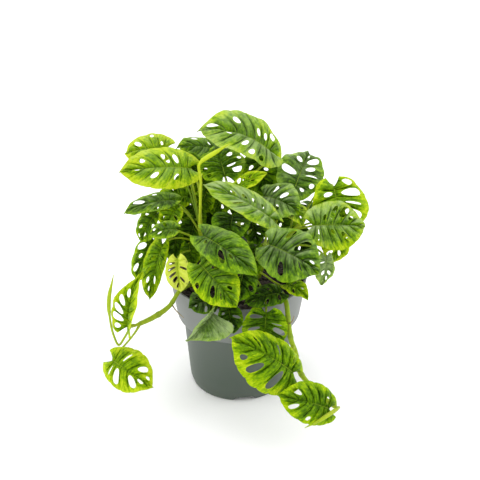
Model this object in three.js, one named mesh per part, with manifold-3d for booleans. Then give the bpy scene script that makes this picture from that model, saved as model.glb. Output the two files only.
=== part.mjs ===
// A Swiss-cheese philodendron (Monstera adansonii) in its plastic grow pot.
// Millimetres, +Z up, origin at the centre of the pot's foot, front of the plant towards -Y.
import * as THREE from "three";
import { mergeVertices } from "three/addons/utils/BufferGeometryUtils.js";
import Module from "manifold-3d";

const wasm = await Module();
wasm.setup();

// Driving dimensions of the pot and the soil.
const POT_HEIGHT = 154;
const RIM_RADIUS = 85;
const COLLAR_FOOT_RADIUS = 76;
const COLLAR_FOOT_HEIGHT = 99;
const STEP_RADIUS = 68.5;
const STEP_HEIGHT = 95;
const BASE_RADIUS = 60;
const POT_WALL = 2;
const POT_SIDES = 26;
const FOOT_DISC_RADIUS = 20;
const FOOT_RING_RADII = [46, 52];
const RECESS_HEIGHT = 5;
const NOTCH = { width: 28, height: 4.5, count: 4 };
const DRAIN = { radius: 4, circle: 34, count: 4 };
const SOIL_HEIGHT = 139;
const SOIL_ROUGHNESS = 2.2;

// Driving dimensions of the plant.
const GAP = 0.3;
const BLADE_THICKNESS = 1;
const KEEL_DEPTH = 0.7;
const PETIOLE_RADIUS = 1.3;
const PETIOLE_SIDES = 4;
const STEM_RADIUS = 2.7;
const STEM_SIDES = 6;
const ROOT_RADIUS = 1.4;

// Leaf outline: where the basal lobes start, how far they reach back, how the columns spread.
const LOBE_START = 0.07 * Math.PI;
const LOBE_REACH = 0.18;
const COLUMN_SPREAD = 0.8;
const HOLE_ROWS = [0.32, 0.74];
const RIB_SPREAD = 1.5;

// Stems, each a spline through points that start in the soil, some with an aerial root at a node.
const STEMS = [
  { name: "stem_crown",
    points: [[4, 12, 95], [5, 14, 150], [0, 22, 200], [6, 34, 245], [14, 42, 262]] },
  { name: "stem_left",
    points: [[-22, 4, 95], [-24, 2, 145], [-34, -4, 180], [-44, -8, 206], [-47, -8, 222]] },
  { name: "stem_right",
    points: [[24, 8, 95], [26, 8, 145], [44, 8, 180], [64, 8, 205], [78, 6, 222]] },
  { name: "stem_back",
    points: [[8, 34, 95], [10, 36, 145], [14, 54, 180], [10, 68, 200], [4, 74, 214]] },
  { name: "stem_front",
    points: [[-4, -22, 95], [-5, -26, 145], [-12, -44, 172], [-16, -54, 190], [-20, -60, 204]] },
  { name: "stem_middle",
    points: [[10, -8, 95], [12, -10, 145], [22, -22, 185], [30, -34, 206], [32, -40, 220]] },
  { name: "vine_right", root: [[60, -88, 136], [64, -96, 146], [66, -100, 156]],
    points: [[38, -24, 95], [40, -30, 145], [50, -54, 160], [57, -72, 157], [60, -88, 136], [63, -100, 121],
      [68, -108, 109], [71, -115, 92], [82, -121, 75], [104, -128, 54], [118, -132, 45]] },
  { name: "vine_left", root: [[-81, -56, 146], [-75, -64, 140], [-66, -70, 133]],
    points: [[-34, -12, 95], [-36, -16, 142], [-52, -34, 160], [-70, -50, 161], [-84, -57, 143],
      [-105, -62, 129], [-131, -70, 120]] },
];

// Leaves: base is where the stalk meets the blade, face is the way the upper side looks.
const LEAVES = [
  { name: "leaf_crown", stem: "stem_crown", at: 0.97, base: [38, 42, 298], width: 78,
    tip: [-51, 35, 333], face: [0.15, -0.45, 0.88], arch: 0.2, fold: 0.1, droop: 0.3, holes: 4 },
  { name: "leaf_crown_left", stem: "stem_crown", at: 0.85, base: [-25, 100, 268], width: 42,
    tip: [-76, 74, 287], face: [0, -0.35, 0.93], arch: 0.1, fold: 0.1, droop: 0.3, holes: 3 },
  { name: "leaf_crown_under", stem: "stem_crown", at: 0.8, base: [-16, 20, 278], width: 58,
    tip: [-28, 80, 284], face: [0, -0.55, 0.83], arch: 0.08, fold: 0.2, droop: 0.3, holes: 3 },
  { name: "leaf_crown_small", stem: "stem_crown", at: 0.75, base: [-3, -9, 279.5], width: 20,
    tip: [34, 3, 292.5], face: [-0.3, -0.55, 0.78], arch: 0.08, fold: 0.2, droop: 0.2, holes: 2 },
  { name: "leaf_upper_left_back", stem: "stem_left", at: 0.95, base: [-89, 65, 291], width: 42,
    tip: [-141, 75, 278], face: [-0.1, -0.6, 0.8], arch: 0.12, fold: 0.15, droop: 0.3, holes: 3 },
  { name: "leaf_upper_left", stem: "stem_left", at: 0.86, base: [-58, 10, 295], width: 54, rise: 0.4,
    tip: [-140, -5, 298], face: [-0.05, -0.62, 0.78], arch: 0.1, fold: 0.12, droop: 0.25, holes: 4 },
  { name: "leaf_upper_right", stem: "stem_right", at: 0.8, base: [68, 22, 260], width: 57, bow: [8, 6, 0],
    tip: [87, 97, 267], face: [0.15, -0.45, 0.88], arch: 0.12, fold: 0.15, droop: 0.35, holes: 3 },
  { name: "leaf_right_heart", stem: "stem_right", at: 0.98, base: [114, 9, 268], width: 74, bow: [0, 10, 0],
    tip: [125, -24, 214], face: [0.25, -0.85, 0.45], arch: 0.1, fold: 0.1, droop: 0.35, holes: 3 },
  { name: "leaf_right_low", stem: "stem_right", at: 0.7, base: [89, -5, 223], width: 60,
    tip: [153, 10, 212], face: [0.1, -0.6, 0.8], arch: 0.12, fold: 0.15, droop: 0.3, holes: 3 },
  { name: "leaf_right_under", stem: "stem_right", at: 0.85, base: [127, 22, 199], width: 42,
    tip: [111, 5, 162], face: [0.5, -0.75, 0.45], arch: 0.1, fold: 0.15, droop: 0.25, holes: 3 },
  { name: "leaf_middle_long", stem: "stem_middle", at: 0.95, base: [40, -35, 251], width: 40, bow: [0, 12, 0],
    tip: [-42, -28, 294], face: [0, -0.35, 0.93], arch: 0.08, fold: 0.15, droop: 0.2, holes: 4 },
  { name: "leaf_middle_folded", stem: "stem_crown", at: 0.5, base: [-7, -18, 245], width: 46,
    tip: [-12, -68, 234], face: [0, -0.35, 0.93], arch: 0.12, fold: 0.3, droop: 0.1, holes: 2 },
  { name: "leaf_middle_left", stem: "stem_front", at: 0.95, base: [-42, -63, 245], width: 46,
    tip: [22, -103, 216], face: [0.1, -0.65, 0.75], arch: 0.12, fold: 0.15, droop: 0.25, holes: 3 },
  { name: "leaf_front_left", stem: "stem_front", at: 0.85, base: [-45, -80, 216], width: 52,
    tip: [-2, -112, 177], face: [0, -0.7, 0.7], arch: 0.12, fold: 0.15, droop: 0.25, holes: 3 },
  { name: "leaf_front_dark", stem: "stem_front", at: 0.75, base: [7, -75, 210], width: 44,
    tip: [-7, -95, 171], face: [0.45, -0.75, 0.45], arch: 0.1, fold: 0.15, droop: 0.2, holes: 2 },
  { name: "leaf_middle_right", stem: "stem_middle", at: 0.9, base: [36, -68, 236], width: 68,
    tip: [95, -93, 213], face: [0.1, -0.62, 0.78], arch: 0.1, fold: 0.2, droop: 0.3, holes: 4 },
  { name: "leaf_right_inner", stem: "stem_right", at: 0.75, base: [30, 10, 256], width: 52,
    tip: [74, -15, 247], face: [0.1, -0.55, 0.83], arch: 0.15, fold: 0.2, droop: 0.25, holes: 3 },
  { name: "leaf_right_crumpled", stem: "stem_right", at: 0.45, base: [62, 3, 246], width: 26,
    tip: [77, -20, 232], face: [0.3, -0.6, 0.7], arch: 0.15, fold: 0.3, droop: 0.1, holes: 2 },
  { name: "leaf_right_olive", stem: "stem_right", at: 0.5, base: [105, -34, 197], width: 30,
    tip: [100, -44, 163], face: [0.6, -0.7, 0.3], arch: 0.1, fold: 0.1, droop: 0.2, holes: 3 },
  { name: "leaf_front_right", stem: "stem_middle", at: 0.5, base: [57, -60, 177], width: 34,
    tip: [82, -80, 173], face: [0.1, -0.3, 0.93], arch: 0.15, fold: 0.2, droop: 0.2, holes: 2 },
  { name: "leaf_rim_dark", stem: "vine_right", at: 0.24, base: [51, -70, 169], width: 34, rise: 1,
    tip: [7, -88, 165], face: [0, -0.3, 0.95], arch: 0.08, fold: 0.15, droop: 0.2, holes: 2 },
  { name: "leaf_middle_hanging", stem: "stem_middle", at: 0.55, base: [20, -40, 215], width: 28,
    tip: [15, -62, 180], face: [-0.35, -0.8, 0.5], arch: 0.12, fold: 0.2, droop: 0.2, holes: 2 },
  { name: "leaf_yellow", stem: "stem_left", at: 0.6, base: [-73, -48, 203], width: 30,
    tip: [-69, -66, 168], face: [-0.15, -0.85, 0.5], arch: 0.08, fold: 0.45, droop: 0.15, holes: 3 },
  { name: "leaf_left_hanging", stem: "stem_left", at: 0.7, base: [-91, -30, 212], width: 38,
    tip: [-108, -44, 142], face: [-0.3, -0.8, 0.5], arch: 0.08, fold: 0.15, droop: 0.2, holes: 3 },
  { name: "leaf_left_outer", stem: "stem_left", at: 0.83, base: [-104, 0, 200], width: 32,
    tip: [-125, -12, 147], face: [-0.55, -0.75, 0.35], arch: 0.1, fold: 0.2, droop: 0.2, holes: 3 },
  { name: "leaf_left_dark", stem: "stem_left", at: 0.8, base: [-80, 8, 252], width: 38,
    tip: [-139, 8, 233], face: [-0.1, -0.4, 0.9], arch: 0.1, fold: 0.2, droop: 0.2, holes: 3 },
  { name: "leaf_left_middle", stem: "stem_left", at: 0.74, base: [-99, 5, 235], width: 34,
    tip: [-118, -8, 201], face: [-0.6, -0.65, 0.45], arch: 0.12, fold: 0.2, droop: 0.2, holes: 2 },
  { name: "leaf_left_edge", stem: "stem_left", at: 0.9, base: [-75, 0, 245], width: 30,
    tip: [-88, -15, 223], face: [-0.4, -0.7, 0.55], arch: 0.12, fold: 0.3, droop: 0.1, holes: 2 },
  { name: "leaf_left_level", stem: "stem_left", at: 0.65, base: [-75, -34, 236], width: 26,
    tip: [-107, -26, 224], face: [-0.1, -0.4, 0.9], arch: 0.1, fold: 0.2, droop: 0.2, holes: 2 },
  { name: "leaf_vine_left_upper", stem: "vine_left", at: 0.97, base: [-130, -78, 130], width: 38,
    tip: [-114, -66, 197], face: [-1, -0.85, 0.5], arch: 0.08, fold: 0.6, droop: 0.1, holes: 3 },
  { name: "leaf_vine_left_heart", stem: "vine_left", at: 0.93, base: [-155, -85, 81], width: 54, rise: -0.5,
    tip: [-105, -118, 65], face: [0, -0.8, 0.6], arch: 0.12, fold: 0.1, droop: 0.3, holes: 3 },
  { name: "leaf_vine_right_bright", stem: "vine_right", at: 0.62, base: [60, -134, 100], width: 67,
    tip: [-10, -138, 139], face: [-0.05, -0.55, 0.83], arch: 0.1, fold: 0.12, droop: 0.45, holes: 4 },
  { name: "leaf_vine_right_end", stem: "vine_right", at: 0.96, base: [109, -150, 60], width: 47, rise: 0.2,
    tip: [50, -162, 90], face: [0.1, -0.62, 0.78], arch: 0.12, fold: 0.12, droop: 0.3, holes: 3 },
  { name: "leaf_front_folded", stem: "stem_front", at: 0.5, base: [-30, -98, 159], width: 40,
    tip: [-62, -124, 136], face: [0.7, -1.22, -0.07], arch: 0.05, fold: 1.3, droop: 0.1, holes: 2 },
  { name: "leaf_rim_left", stem: "stem_front", at: 0.4, base: [-32, -72, 159], width: 36,
    tip: [-59, -88, 159], face: [-0.2, -0.55, 0.8], arch: 0.15, fold: 0.15, droop: 0.2, holes: 2 },
  { name: "leaf_rim_front", stem: "stem_front", at: 0.45, base: [-12, -89, 160], width: 30,
    tip: [-6, -99, 130], face: [0, -0.9, 0.4], arch: 0.1, fold: 0.15, droop: 0.2, holes: 2 },
  { name: "leaf_rim_green", stem: "stem_middle", at: 0.42, base: [33, -93, 156], width: 54,
    tip: [29, -99, 105], face: [0, -0.9, 0.4], arch: 0.1, fold: 0.15, droop: 0.25, holes: 3 },
  { name: "leaf_back_high", stem: "stem_back", at: 0.98, base: [20, 85, 240], width: 54,
    tip: [30, 130, 205], face: [0.1, 0.6, 0.8], arch: 0.12, fold: 0.15, droop: 0.3, holes: 2 },
  { name: "leaf_back_left_high", stem: "stem_back", at: 0.9, base: [-35, 85, 235], width: 52,
    tip: [-75, 125, 210], face: [-0.3, 0.4, 0.85], arch: 0.12, fold: 0.15, droop: 0.3, holes: 2 },
  { name: "leaf_back_left", stem: "stem_back", at: 0.75, base: [-80, 55, 215], width: 50,
    tip: [-125, 90, 190], face: [-0.4, 0.3, 0.85], arch: 0.12, fold: 0.15, droop: 0.3, holes: 2 },
  { name: "leaf_back_middle", stem: "stem_back", at: 0.85, base: [-10, 95, 205], width: 56,
    tip: [-15, 140, 170], face: [0, 0.7, 0.7], arch: 0.12, fold: 0.15, droop: 0.3, holes: 2 },
  { name: "leaf_back_right", stem: "stem_back", at: 0.8, base: [80, 60, 205], width: 52,
    tip: [120, 95, 180], face: [0.4, 0.4, 0.8], arch: 0.12, fold: 0.15, droop: 0.3, holes: 2 },
  { name: "leaf_back_low_left", stem: "stem_back", at: 0.5, base: [-50, 85, 170], width: 48,
    tip: [-85, 115, 135], face: [-0.4, 0.6, 0.7], arch: 0.12, fold: 0.15, droop: 0.3, holes: 2 },
  { name: "leaf_back_low_middle", stem: "stem_back", at: 0.4, base: [15, 95, 160], width: 50,
    tip: [20, 125, 115], face: [0, 0.8, 0.55], arch: 0.12, fold: 0.15, droop: 0.3, holes: 2 },
  { name: "leaf_back_low_right", stem: "stem_back", at: 0.45, base: [65, 75, 165], width: 48,
    tip: [100, 105, 135], face: [0.4, 0.6, 0.7], arch: 0.12, fold: 0.15, droop: 0.3, holes: 2 },
];

// Short leafy shoots deep in the plant, each a stem in one body with its small leaves.
const INNER_SHOOTS = [
  { name: "shoot_inner_left",
    points: [[-36, 18, 95], [-38, 20, 145], [-48, 22, 180], [-58, 24, 208], [-62, 26, 232]],
    leaves: [
      { at: 0.98, base: [-62, 30, 244], width: 34,
        tip: [-102, 28, 238], face: [-0.1, -0.5, 0.85], arch: 0.1, fold: 0.2, droop: 0.2, holes: 1 },
      { at: 0.9, base: [-73, 30, 224], width: 30,
        tip: [-83, 18, 191], face: [-0.3, -0.8, 0.5], arch: 0.1, fold: 0.2, droop: 0.2, holes: 1 },
      { at: 0.85, base: [-57, 25, 234], width: 28,
        tip: [-49, 13, 203], face: [0.1, -0.85, 0.5], arch: 0.1, fold: 0.2, droop: 0.2, holes: 1 },
      { at: 0.7, base: [-76, 12, 205], width: 28,
        tip: [-62, 0, 180], face: [-0.1, -0.85, 0.5], arch: 0.1, fold: 0.2, droop: 0.2, holes: 1 },
      { at: 0.6, base: [-50, 16, 212], width: 26,
        tip: [-40, 6, 186], face: [0.1, -0.85, 0.5], arch: 0.1, fold: 0.2, droop: 0.2, holes: 1 },
    ] },
  { name: "shoot_inner_right",
    points: [[-8, 16, 95], [-10, 20, 145], [-14, 30, 185], [-22, 36, 215], [-26, 38, 234]],
    leaves: [
      { at: 0.98, base: [-40, 34, 246], width: 28,
        tip: [-47, 24, 222], face: [-0.1, -0.8, 0.6], arch: 0.1, fold: 0.2, droop: 0.2, holes: 1 },
      { at: 0.9, base: [-20, 40, 244], width: 32,
        tip: [-30, 26, 218], face: [0, -0.8, 0.6], arch: 0.1, fold: 0.2, droop: 0.2, holes: 1 },
      { at: 0.85, base: [-3, 44, 230], width: 30,
        tip: [14, 32, 212], face: [0.1, -0.8, 0.6], arch: 0.1, fold: 0.2, droop: 0.2, holes: 1 },
      { at: 0.7, base: [16, 30, 207], width: 28,
        tip: [24, 16, 183], face: [0.2, -0.8, 0.55], arch: 0.1, fold: 0.2, droop: 0.2, holes: 1 },
    ] },
];

// Unopened leaves, each rolled to a spindle on its own stalk, as a spline from the stem outwards.
const ROLLED_LEAVES = [
  { name: "rolled_leaf_top", stem: "stem_left", radius: 3.2, thick: 0.72,
    points: [[-47, -8, 222], [-45, -8, 250], [-44, -8, 292], [-41, -8, 312], [-28, -8, 325],
      [-10, -8, 338]] },
  { name: "rolled_leaf_left", stem: "vine_left", radius: 2.6, thick: 0.6,
    points: [[-131, -70, 120], [-139, -74, 108], [-146, -77, 101], [-152, -78, 112], [-156, -84, 142],
      [-155, -82, 169], [-148, -76, 199]] },
  { name: "rolled_leaf_right", stem: "vine_right", radius: 3.2, thick: 0.55,
    points: [[118, -132, 45], [115, -144, 46], [104, -152, 44], [92, -157, 42], [78, -160, 37]] },
];

const GREEN = new THREE.MeshStandardMaterial({ color: 0x6f9a2c, roughness: 0.45, metalness: 0 });
const STALK_GREEN = new THREE.MeshStandardMaterial({ color: 0x9fb04a, roughness: 0.5, metalness: 0 });
const YOUNG_GREEN = new THREE.MeshStandardMaterial({ color: 0xc9d86a, roughness: 0.45, metalness: 0 });
const POT_GREY = new THREE.MeshStandardMaterial({ color: 0x6a7268, roughness: 0.6, metalness: 0 });
const SOIL_BROWN = new THREE.MeshStandardMaterial({ color: 0x3a2a26, roughness: 0.95, metalness: 0 });

const vector = (p) => new THREE.Vector3(...p);
const splineThrough = (points) => new THREE.CatmullRomCurve3(points.map(vector));

// A closed mesh as a solid for joining and cutting.
function solidOf(geometry) {
  const bare = geometry.clone();
  for (const name of Object.keys(bare.attributes)) {
    if (name !== "position") bare.deleteAttribute(name);
  }
  const merged = mergeVertices(bare, 1e-3);
  return new wasm.Manifold(new wasm.Mesh({
    numProp: 3,
    vertProperties: new Float32Array(merged.attributes.position.array),
    triVerts: new Uint32Array(merged.index.array),
  }));
}

// The solid's largest body as a named mesh.
function meshOf(solid, name, material) {
  const bodies = solid.decompose().sort((a, b) => b.volume() - a.volume());
  const found = bodies[0].getMesh();
  const geometry = new THREE.BufferGeometry();
  geometry.setAttribute("position", new THREE.BufferAttribute(found.vertProperties, 3));
  geometry.setIndex(new THREE.BufferAttribute(found.triVerts, 1));
  geometry.computeVertexNormals();
  const mesh = new THREE.Mesh(geometry, material);
  mesh.name = name;
  return mesh;
}

function geometryOf(points, triangles) {
  const geometry = new THREE.BufferGeometry();
  geometry.setAttribute("position", new THREE.Float32BufferAttribute(points.flat(), 3));
  geometry.setIndex(triangles.flat());
  return geometry;
}

// A round tube along a curve whose radius follows radiusAt(share of the length), closed at both ends.
function tube(curve, steps, sides, radiusAt) {
  const frames = curve.computeFrenetFrames(steps, false);
  const points = [];
  const triangles = [];
  for (let i = 0; i <= steps; i += 1) {
    const centre = curve.getPointAt(i / steps);
    for (let j = 0; j < sides; j += 1) {
      const turn = (2 * Math.PI * j) / sides;
      const offset = frames.normals[i].clone().multiplyScalar(Math.cos(turn));
      offset.addScaledVector(frames.binormals[i], Math.sin(turn)).multiplyScalar(radiusAt(i / steps));
      points.push(offset.add(centre).toArray());
    }
  }
  for (let i = 0; i < steps; i += 1) {
    for (let j = 0; j < sides; j += 1) {
      const [a, b] = [i * sides + j, i * sides + ((j + 1) % sides)];
      triangles.push([a, b, b + sides], [a, b + sides, a + sides]);
    }
  }
  const last = steps * sides;
  for (let j = 1; j < sides - 1; j += 1) {
    triangles.push([0, j + 1, j], [last, last + j, last + j + 1]);
  }
  return geometryOf(points, triangles);
}

// --- Leaf ---------------------------------------------------------------------------------------

// The point of the flat leaf at column c (0 base, 1 tip) and row t (-1 and 1 margins, 0 midrib):
// u is the share of the length, v the share of the half width.
function flatLeaf(c, t) {
  const turn = LOBE_START + (Math.PI - LOBE_START) * c ** COLUMN_SPREAD;
  const edgeU = (1 + LOBE_REACH) * (0.5 - 0.5 * Math.cos(turn)) - LOBE_REACH;
  const edgeV = Math.max(Math.sin(turn), 0) ** (1.3 - 0.55 * Math.cos(turn)) * 1.02;
  const ribU = c ** RIB_SPREAD;
  const across = Math.abs(t);
  return [ribU + (edgeU - ribU) * across ** 1.4, Math.sign(t) * edgeV * across];
}

// The leaf's own axes: along from base to tip, normal out of the upper side, side across.
function leafAxes(leaf) {
  const base = vector(leaf.base);
  const along = vector(leaf.tip).sub(base);
  const length = along.length();
  along.normalize();
  const normal = vector(leaf.face);
  normal.addScaledVector(along, -normal.dot(along)).normalize();
  const side = new THREE.Vector3().crossVectors(normal, along);
  return { base, along, normal, side, length };
}

// A point in space at (c, t), arched along the midrib, folded up at it and drooping to the margins.
function leafPoint(leaf, axes, c, t, lift) {
  const [u, v] = flatLeaf(c, t);
  const half = leaf.width / 2;
  const y = v * half;
  let z = leaf.arch * axes.length * 4 * u * (1 - u) * (u < 0 ? 0.5 : 1);
  z += leaf.fold * Math.abs(y) - (leaf.droop * y * y) / half;
  z += 0.06 * half * Math.sin(2 * Math.PI * (2.2 * c + 0.25 * Math.sign(t))) * t * t;
  const point = axes.base.clone().addScaledVector(axes.along, u * axes.length);
  return point.addScaledVector(axes.side, y).addScaledVector(axes.normal, z + lift).toArray();
}

// Column lines with two lines round every hole, which leans with the side veins.
function leafColumns(holes) {
  const pitch = 0.88 / holes;
  const columns = [0];
  for (let i = 0; i < holes; i += 1) {
    const centre = 0.05 + pitch * (i + 0.5);
    columns.push(centre - 0.22 * pitch, centre + 0.22 * pitch);
  }
  columns.push(1);
  return columns;
}

// A thin blade: a height field over the flat leaf, the same triangles on both faces, with a slit
// left open between every two side veins.
function bladeGeometry(leaf, axes) {
  const columns = leafColumns(leaf.holes);
  const [inner, outer] = HOLE_ROWS;
  const rows = [-1, -outer, -inner, 0, inner, outer, 1];
  const points = [];
  const index = new Map();
  const last = columns.length - 1;
  const pointAt = (i, j) => {
    const key = i === last ? "tip" : `${i},${j}`;
    if (!index.has(key)) {
      index.set(key, points.length / 2);
      const keel = rows[j] === 0 ? KEEL_DEPTH : 0;
      points.push(leafPoint(leaf, axes, columns[i], rows[j], BLADE_THICKNESS / 2));
      points.push(leafPoint(leaf, axes, columns[i], rows[j], -BLADE_THICKNESS / 2 - keel));
    }
    return index.get(key);
  };
  const isHole = (i, j) => i % 2 === 1 && i < last && (j === 1 || j === rows.length - 3);
  const faces = [];
  for (let i = 0; i < last; i += 1) {
    for (let j = 0; j < rows.length - 1; j += 1) {
      if (isHole(i, j)) continue;
      const [a, b, c, d] = [pointAt(i, j), pointAt(i + 1, j), pointAt(i + 1, j + 1), pointAt(i, j + 1)];
      const upper = rows[j] < 0 ? [[a, b, c], [a, c, d]] : [[a, b, d], [b, c, d]];
      faces.push(...upper.filter(([p, q, r]) => p !== q && q !== r && r !== p));
    }
  }
  const triangles = [];
  const edges = new Set(faces.flatMap(([p, q, r]) => [`${p},${q}`, `${q},${r}`, `${r},${p}`]));
  for (const [p, q, r] of faces) {
    triangles.push([2 * p, 2 * q, 2 * r], [2 * r + 1, 2 * q + 1, 2 * p + 1]);
    for (const [from, to] of [[p, q], [q, r], [r, p]]) {
      if (edges.has(`${to},${from}`)) continue;
      triangles.push([2 * to, 2 * from, 2 * from + 1], [2 * to, 2 * from + 1, 2 * to + 1]);
    }
  }
  return geometryOf(points, triangles);
}

// The stalk leaves its stem rising, and comes up under the blade where the lobes part.
function petioleCurve(leaf, axes, stemCurve) {
  const start = stemCurve.getPointAt(leaf.at);
  const end = axes.base.clone().addScaledVector(axes.along, 1.5);
  const reach = start.distanceTo(end) * 0.38;
  const leave = end.clone().sub(start).normalize().multiplyScalar(0.6);
  leave.add(new THREE.Vector3(0, 0, leaf.rise ?? 0.7)).normalize();
  const arrive = axes.along.clone().multiplyScalar(0.5).addScaledVector(axes.normal, 0.7).normalize();
  const bow = vector(leaf.bow ?? [0, 0, 0]);
  return new THREE.CubicBezierCurve3(
    start,
    start.clone().addScaledVector(leave, reach).add(bow),
    end.clone().addScaledVector(arrive, -reach).add(bow),
    end,
  );
}

// Blade and stalk in one body, the stalk starting in the middle of the stem.
function leafSolid(leaf, stemCurve) {
  const axes = leafAxes(leaf);
  const curve = petioleCurve(leaf, axes, stemCurve);
  const steps = Math.max(2, Math.round(curve.getLength() / 24));
  const stalk = solidOf(tube(curve, steps, PETIOLE_SIDES, () => PETIOLE_RADIUS));
  return solidOf(bladeGeometry(leaf, axes)).add(stalk);
}

function leafMesh(leaf, stems) {
  const stem = stems.get(leaf.stem);
  return meshOf(leafSolid(leaf, stem.curve).subtract(stem.clearance), leaf.name, GREEN);
}

// --- Stems ---------------------------------------------------------------------------------------

function buildStem({ name, points, root }) {
  const curve = splineThrough(points);
  const steps = Math.round(curve.getLength() / 18);
  const body = (spare) => solidOf(tube(curve, steps, STEM_SIDES, () => STEM_RADIUS + spare));
  let solid = body(0);
  if (root) solid = solid.add(solidOf(tube(splineThrough(root), 3, 4, (s) => ROOT_RADIUS * (1.2 - 0.7 * s))));
  return { name, curve, solid, clearance: body(GAP / Math.cos(Math.PI / STEM_SIDES)) };
}

// A leafy shoot: its leaves are joined to its stem.
function shootMesh(shoot, stem) {
  const leaves = shoot.leaves.map((leaf) => leafSolid(leaf, stem.curve));
  return meshOf(leaves.reduce((whole, leaf) => whole.add(leaf), stem.solid), shoot.name, GREEN);
}

// A rolled leaf swells from its stalk, then runs out to a point.
function rolledLeafMesh({ name, stem, radius, thick, points }, stems) {
  const curve = splineThrough(points);
  const swell = (s) => (s < thick ? PETIOLE_RADIUS : 0.35 + (radius - 0.35) * Math.sin(
    Math.PI * Math.min(1, 0.28 + (0.72 * (s - thick)) / (1 - thick))));
  const steps = Math.round(curve.getLength() / 8);
  return meshOf(solidOf(tube(curve, steps, 6, swell)).subtract(stems.get(stem).clearance), name, YOUNG_GREEN);
}

// --- Pot and soil --------------------------------------------------------------------------------

function potRadiusInside(z) {
  const share = (z - RECESS_HEIGHT) / (STEP_HEIGHT - RECESS_HEIGHT);
  if (z < STEP_HEIGHT) return BASE_RADIUS + (STEP_RADIUS - BASE_RADIUS) * share - POT_WALL;
  const rise = (z - COLLAR_FOOT_HEIGHT) / (POT_HEIGHT - COLLAR_FOOT_HEIGHT);
  return COLLAR_FOOT_RADIUS + (RIM_RADIUS - COLLAR_FOOT_RADIUS) * rise - POT_WALL;
}

function potMesh() {
  const [ringIn, ringOut] = FOOT_RING_RADII;
  const profile = [
    [0, 0], [FOOT_DISC_RADIUS, 0], [FOOT_DISC_RADIUS + 2, RECESS_HEIGHT], [ringIn, RECESS_HEIGHT],
    [ringIn + 1, 0], [ringOut, 0], [BASE_RADIUS - 2, 3], [BASE_RADIUS, 9],
    [STEP_RADIUS, STEP_HEIGHT], [COLLAR_FOOT_RADIUS, COLLAR_FOOT_HEIGHT],
    [RIM_RADIUS - 0.4, POT_HEIGHT - 1], [RIM_RADIUS - 1, POT_HEIGHT], [RIM_RADIUS - POT_WALL, POT_HEIGHT],
    [COLLAR_FOOT_RADIUS - POT_WALL, COLLAR_FOOT_HEIGHT + 1], [STEP_RADIUS - POT_WALL, STEP_HEIGHT + 1],
    [BASE_RADIUS - POT_WALL, 9], [BASE_RADIUS - POT_WALL - 2, 4], [ringOut - 0.5, POT_WALL],
    [ringIn + 2, POT_WALL], [ringIn + 1, RECESS_HEIGHT + POT_WALL],
    [FOOT_DISC_RADIUS + 1, RECESS_HEIGHT + POT_WALL], [FOOT_DISC_RADIUS - 1, POT_WALL], [0, POT_WALL],
  ].map(([r, z]) => new THREE.Vector2(r, z));
  let pot = solidOf(new THREE.LatheGeometry(profile, POT_SIDES).rotateX(Math.PI / 2));
  for (let i = 0; i < NOTCH.count; i += 1) {
    const notch = new THREE.BoxGeometry(20, NOTCH.width, 2 * NOTCH.height);
    notch.translate(BASE_RADIUS - 2, 0, 0);
    notch.rotateZ((2 * Math.PI * i) / NOTCH.count - Math.PI / 2);
    pot = pot.subtract(solidOf(notch));
  }
  for (let i = 0; i < DRAIN.count; i += 1) {
    const drain = new THREE.CylinderGeometry(DRAIN.radius, DRAIN.radius, 30, 8).rotateX(Math.PI / 2);
    drain.translate(DRAIN.circle, 0, 0);
    drain.rotateZ((2 * Math.PI * i) / DRAIN.count);
    pot = pot.subtract(solidOf(drain));
  }
  return meshOf(pot, "pot", POT_GREY);
}

// A plug of potting mix with a lumpy top, and plain holes where the stems stand in it.
function soilMesh(stems) {
  const spare = GAP + 0.2;
  const floor = RECESS_HEIGHT + POT_WALL + GAP;
  const topRadius = potRadiusInside(SOIL_HEIGHT) - 3 * spare;
  const rings = [
    [0, SOIL_HEIGHT], [topRadius * 0.3, SOIL_HEIGHT], [topRadius * 0.65, SOIL_HEIGHT],
    [topRadius, SOIL_HEIGHT - 2], [COLLAR_FOOT_RADIUS - POT_WALL - spare, COLLAR_FOOT_HEIGHT + 3],
    [STEP_RADIUS - POT_WALL - spare, STEP_HEIGHT + 2], [BASE_RADIUS - POT_WALL - spare - 2, floor],
    [0, floor],
  ].map(([r, z]) => new THREE.Vector2(r, z)).reverse();
  const plug = new THREE.LatheGeometry(rings, POT_SIDES).rotateX(Math.PI / 2);
  const place = plug.attributes.position;
  for (let i = 0; i < place.count; i += 1) {
    const [x, y, z] = [place.getX(i), place.getY(i), place.getZ(i)];
    if (z < SOIL_HEIGHT - 1) continue;
    place.setZ(i, z + SOIL_ROUGHNESS * Math.sin(x * 0.21 + 1) * Math.cos(y * 0.17));
  }
  let soil = solidOf(plug);
  for (const stem of stems) soil = soil.subtract(stem.clearance);
  return meshOf(soil, "soil", SOIL_BROWN);
}

// --- The plant in its pot ------------------------------------------------------------------------

const stems = new Map(STEMS.map((stem) => [stem.name, buildStem(stem)]));
const innerStems = INNER_SHOOTS.map(buildStem);
const plant = new THREE.Group();
plant.add(potMesh());
plant.add(soilMesh([...stems.values(), ...innerStems]));
for (const stem of stems.values()) plant.add(meshOf(stem.solid, stem.name, STALK_GREEN));
for (const leaf of LEAVES) plant.add(leafMesh(leaf, stems));
INNER_SHOOTS.forEach((shoot, i) => plant.add(shootMesh(shoot, innerStems[i])));
for (const leaf of ROLLED_LEAVES) plant.add(rolledLeafMesh(leaf, stems));

export default plant;
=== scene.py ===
import math

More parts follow.
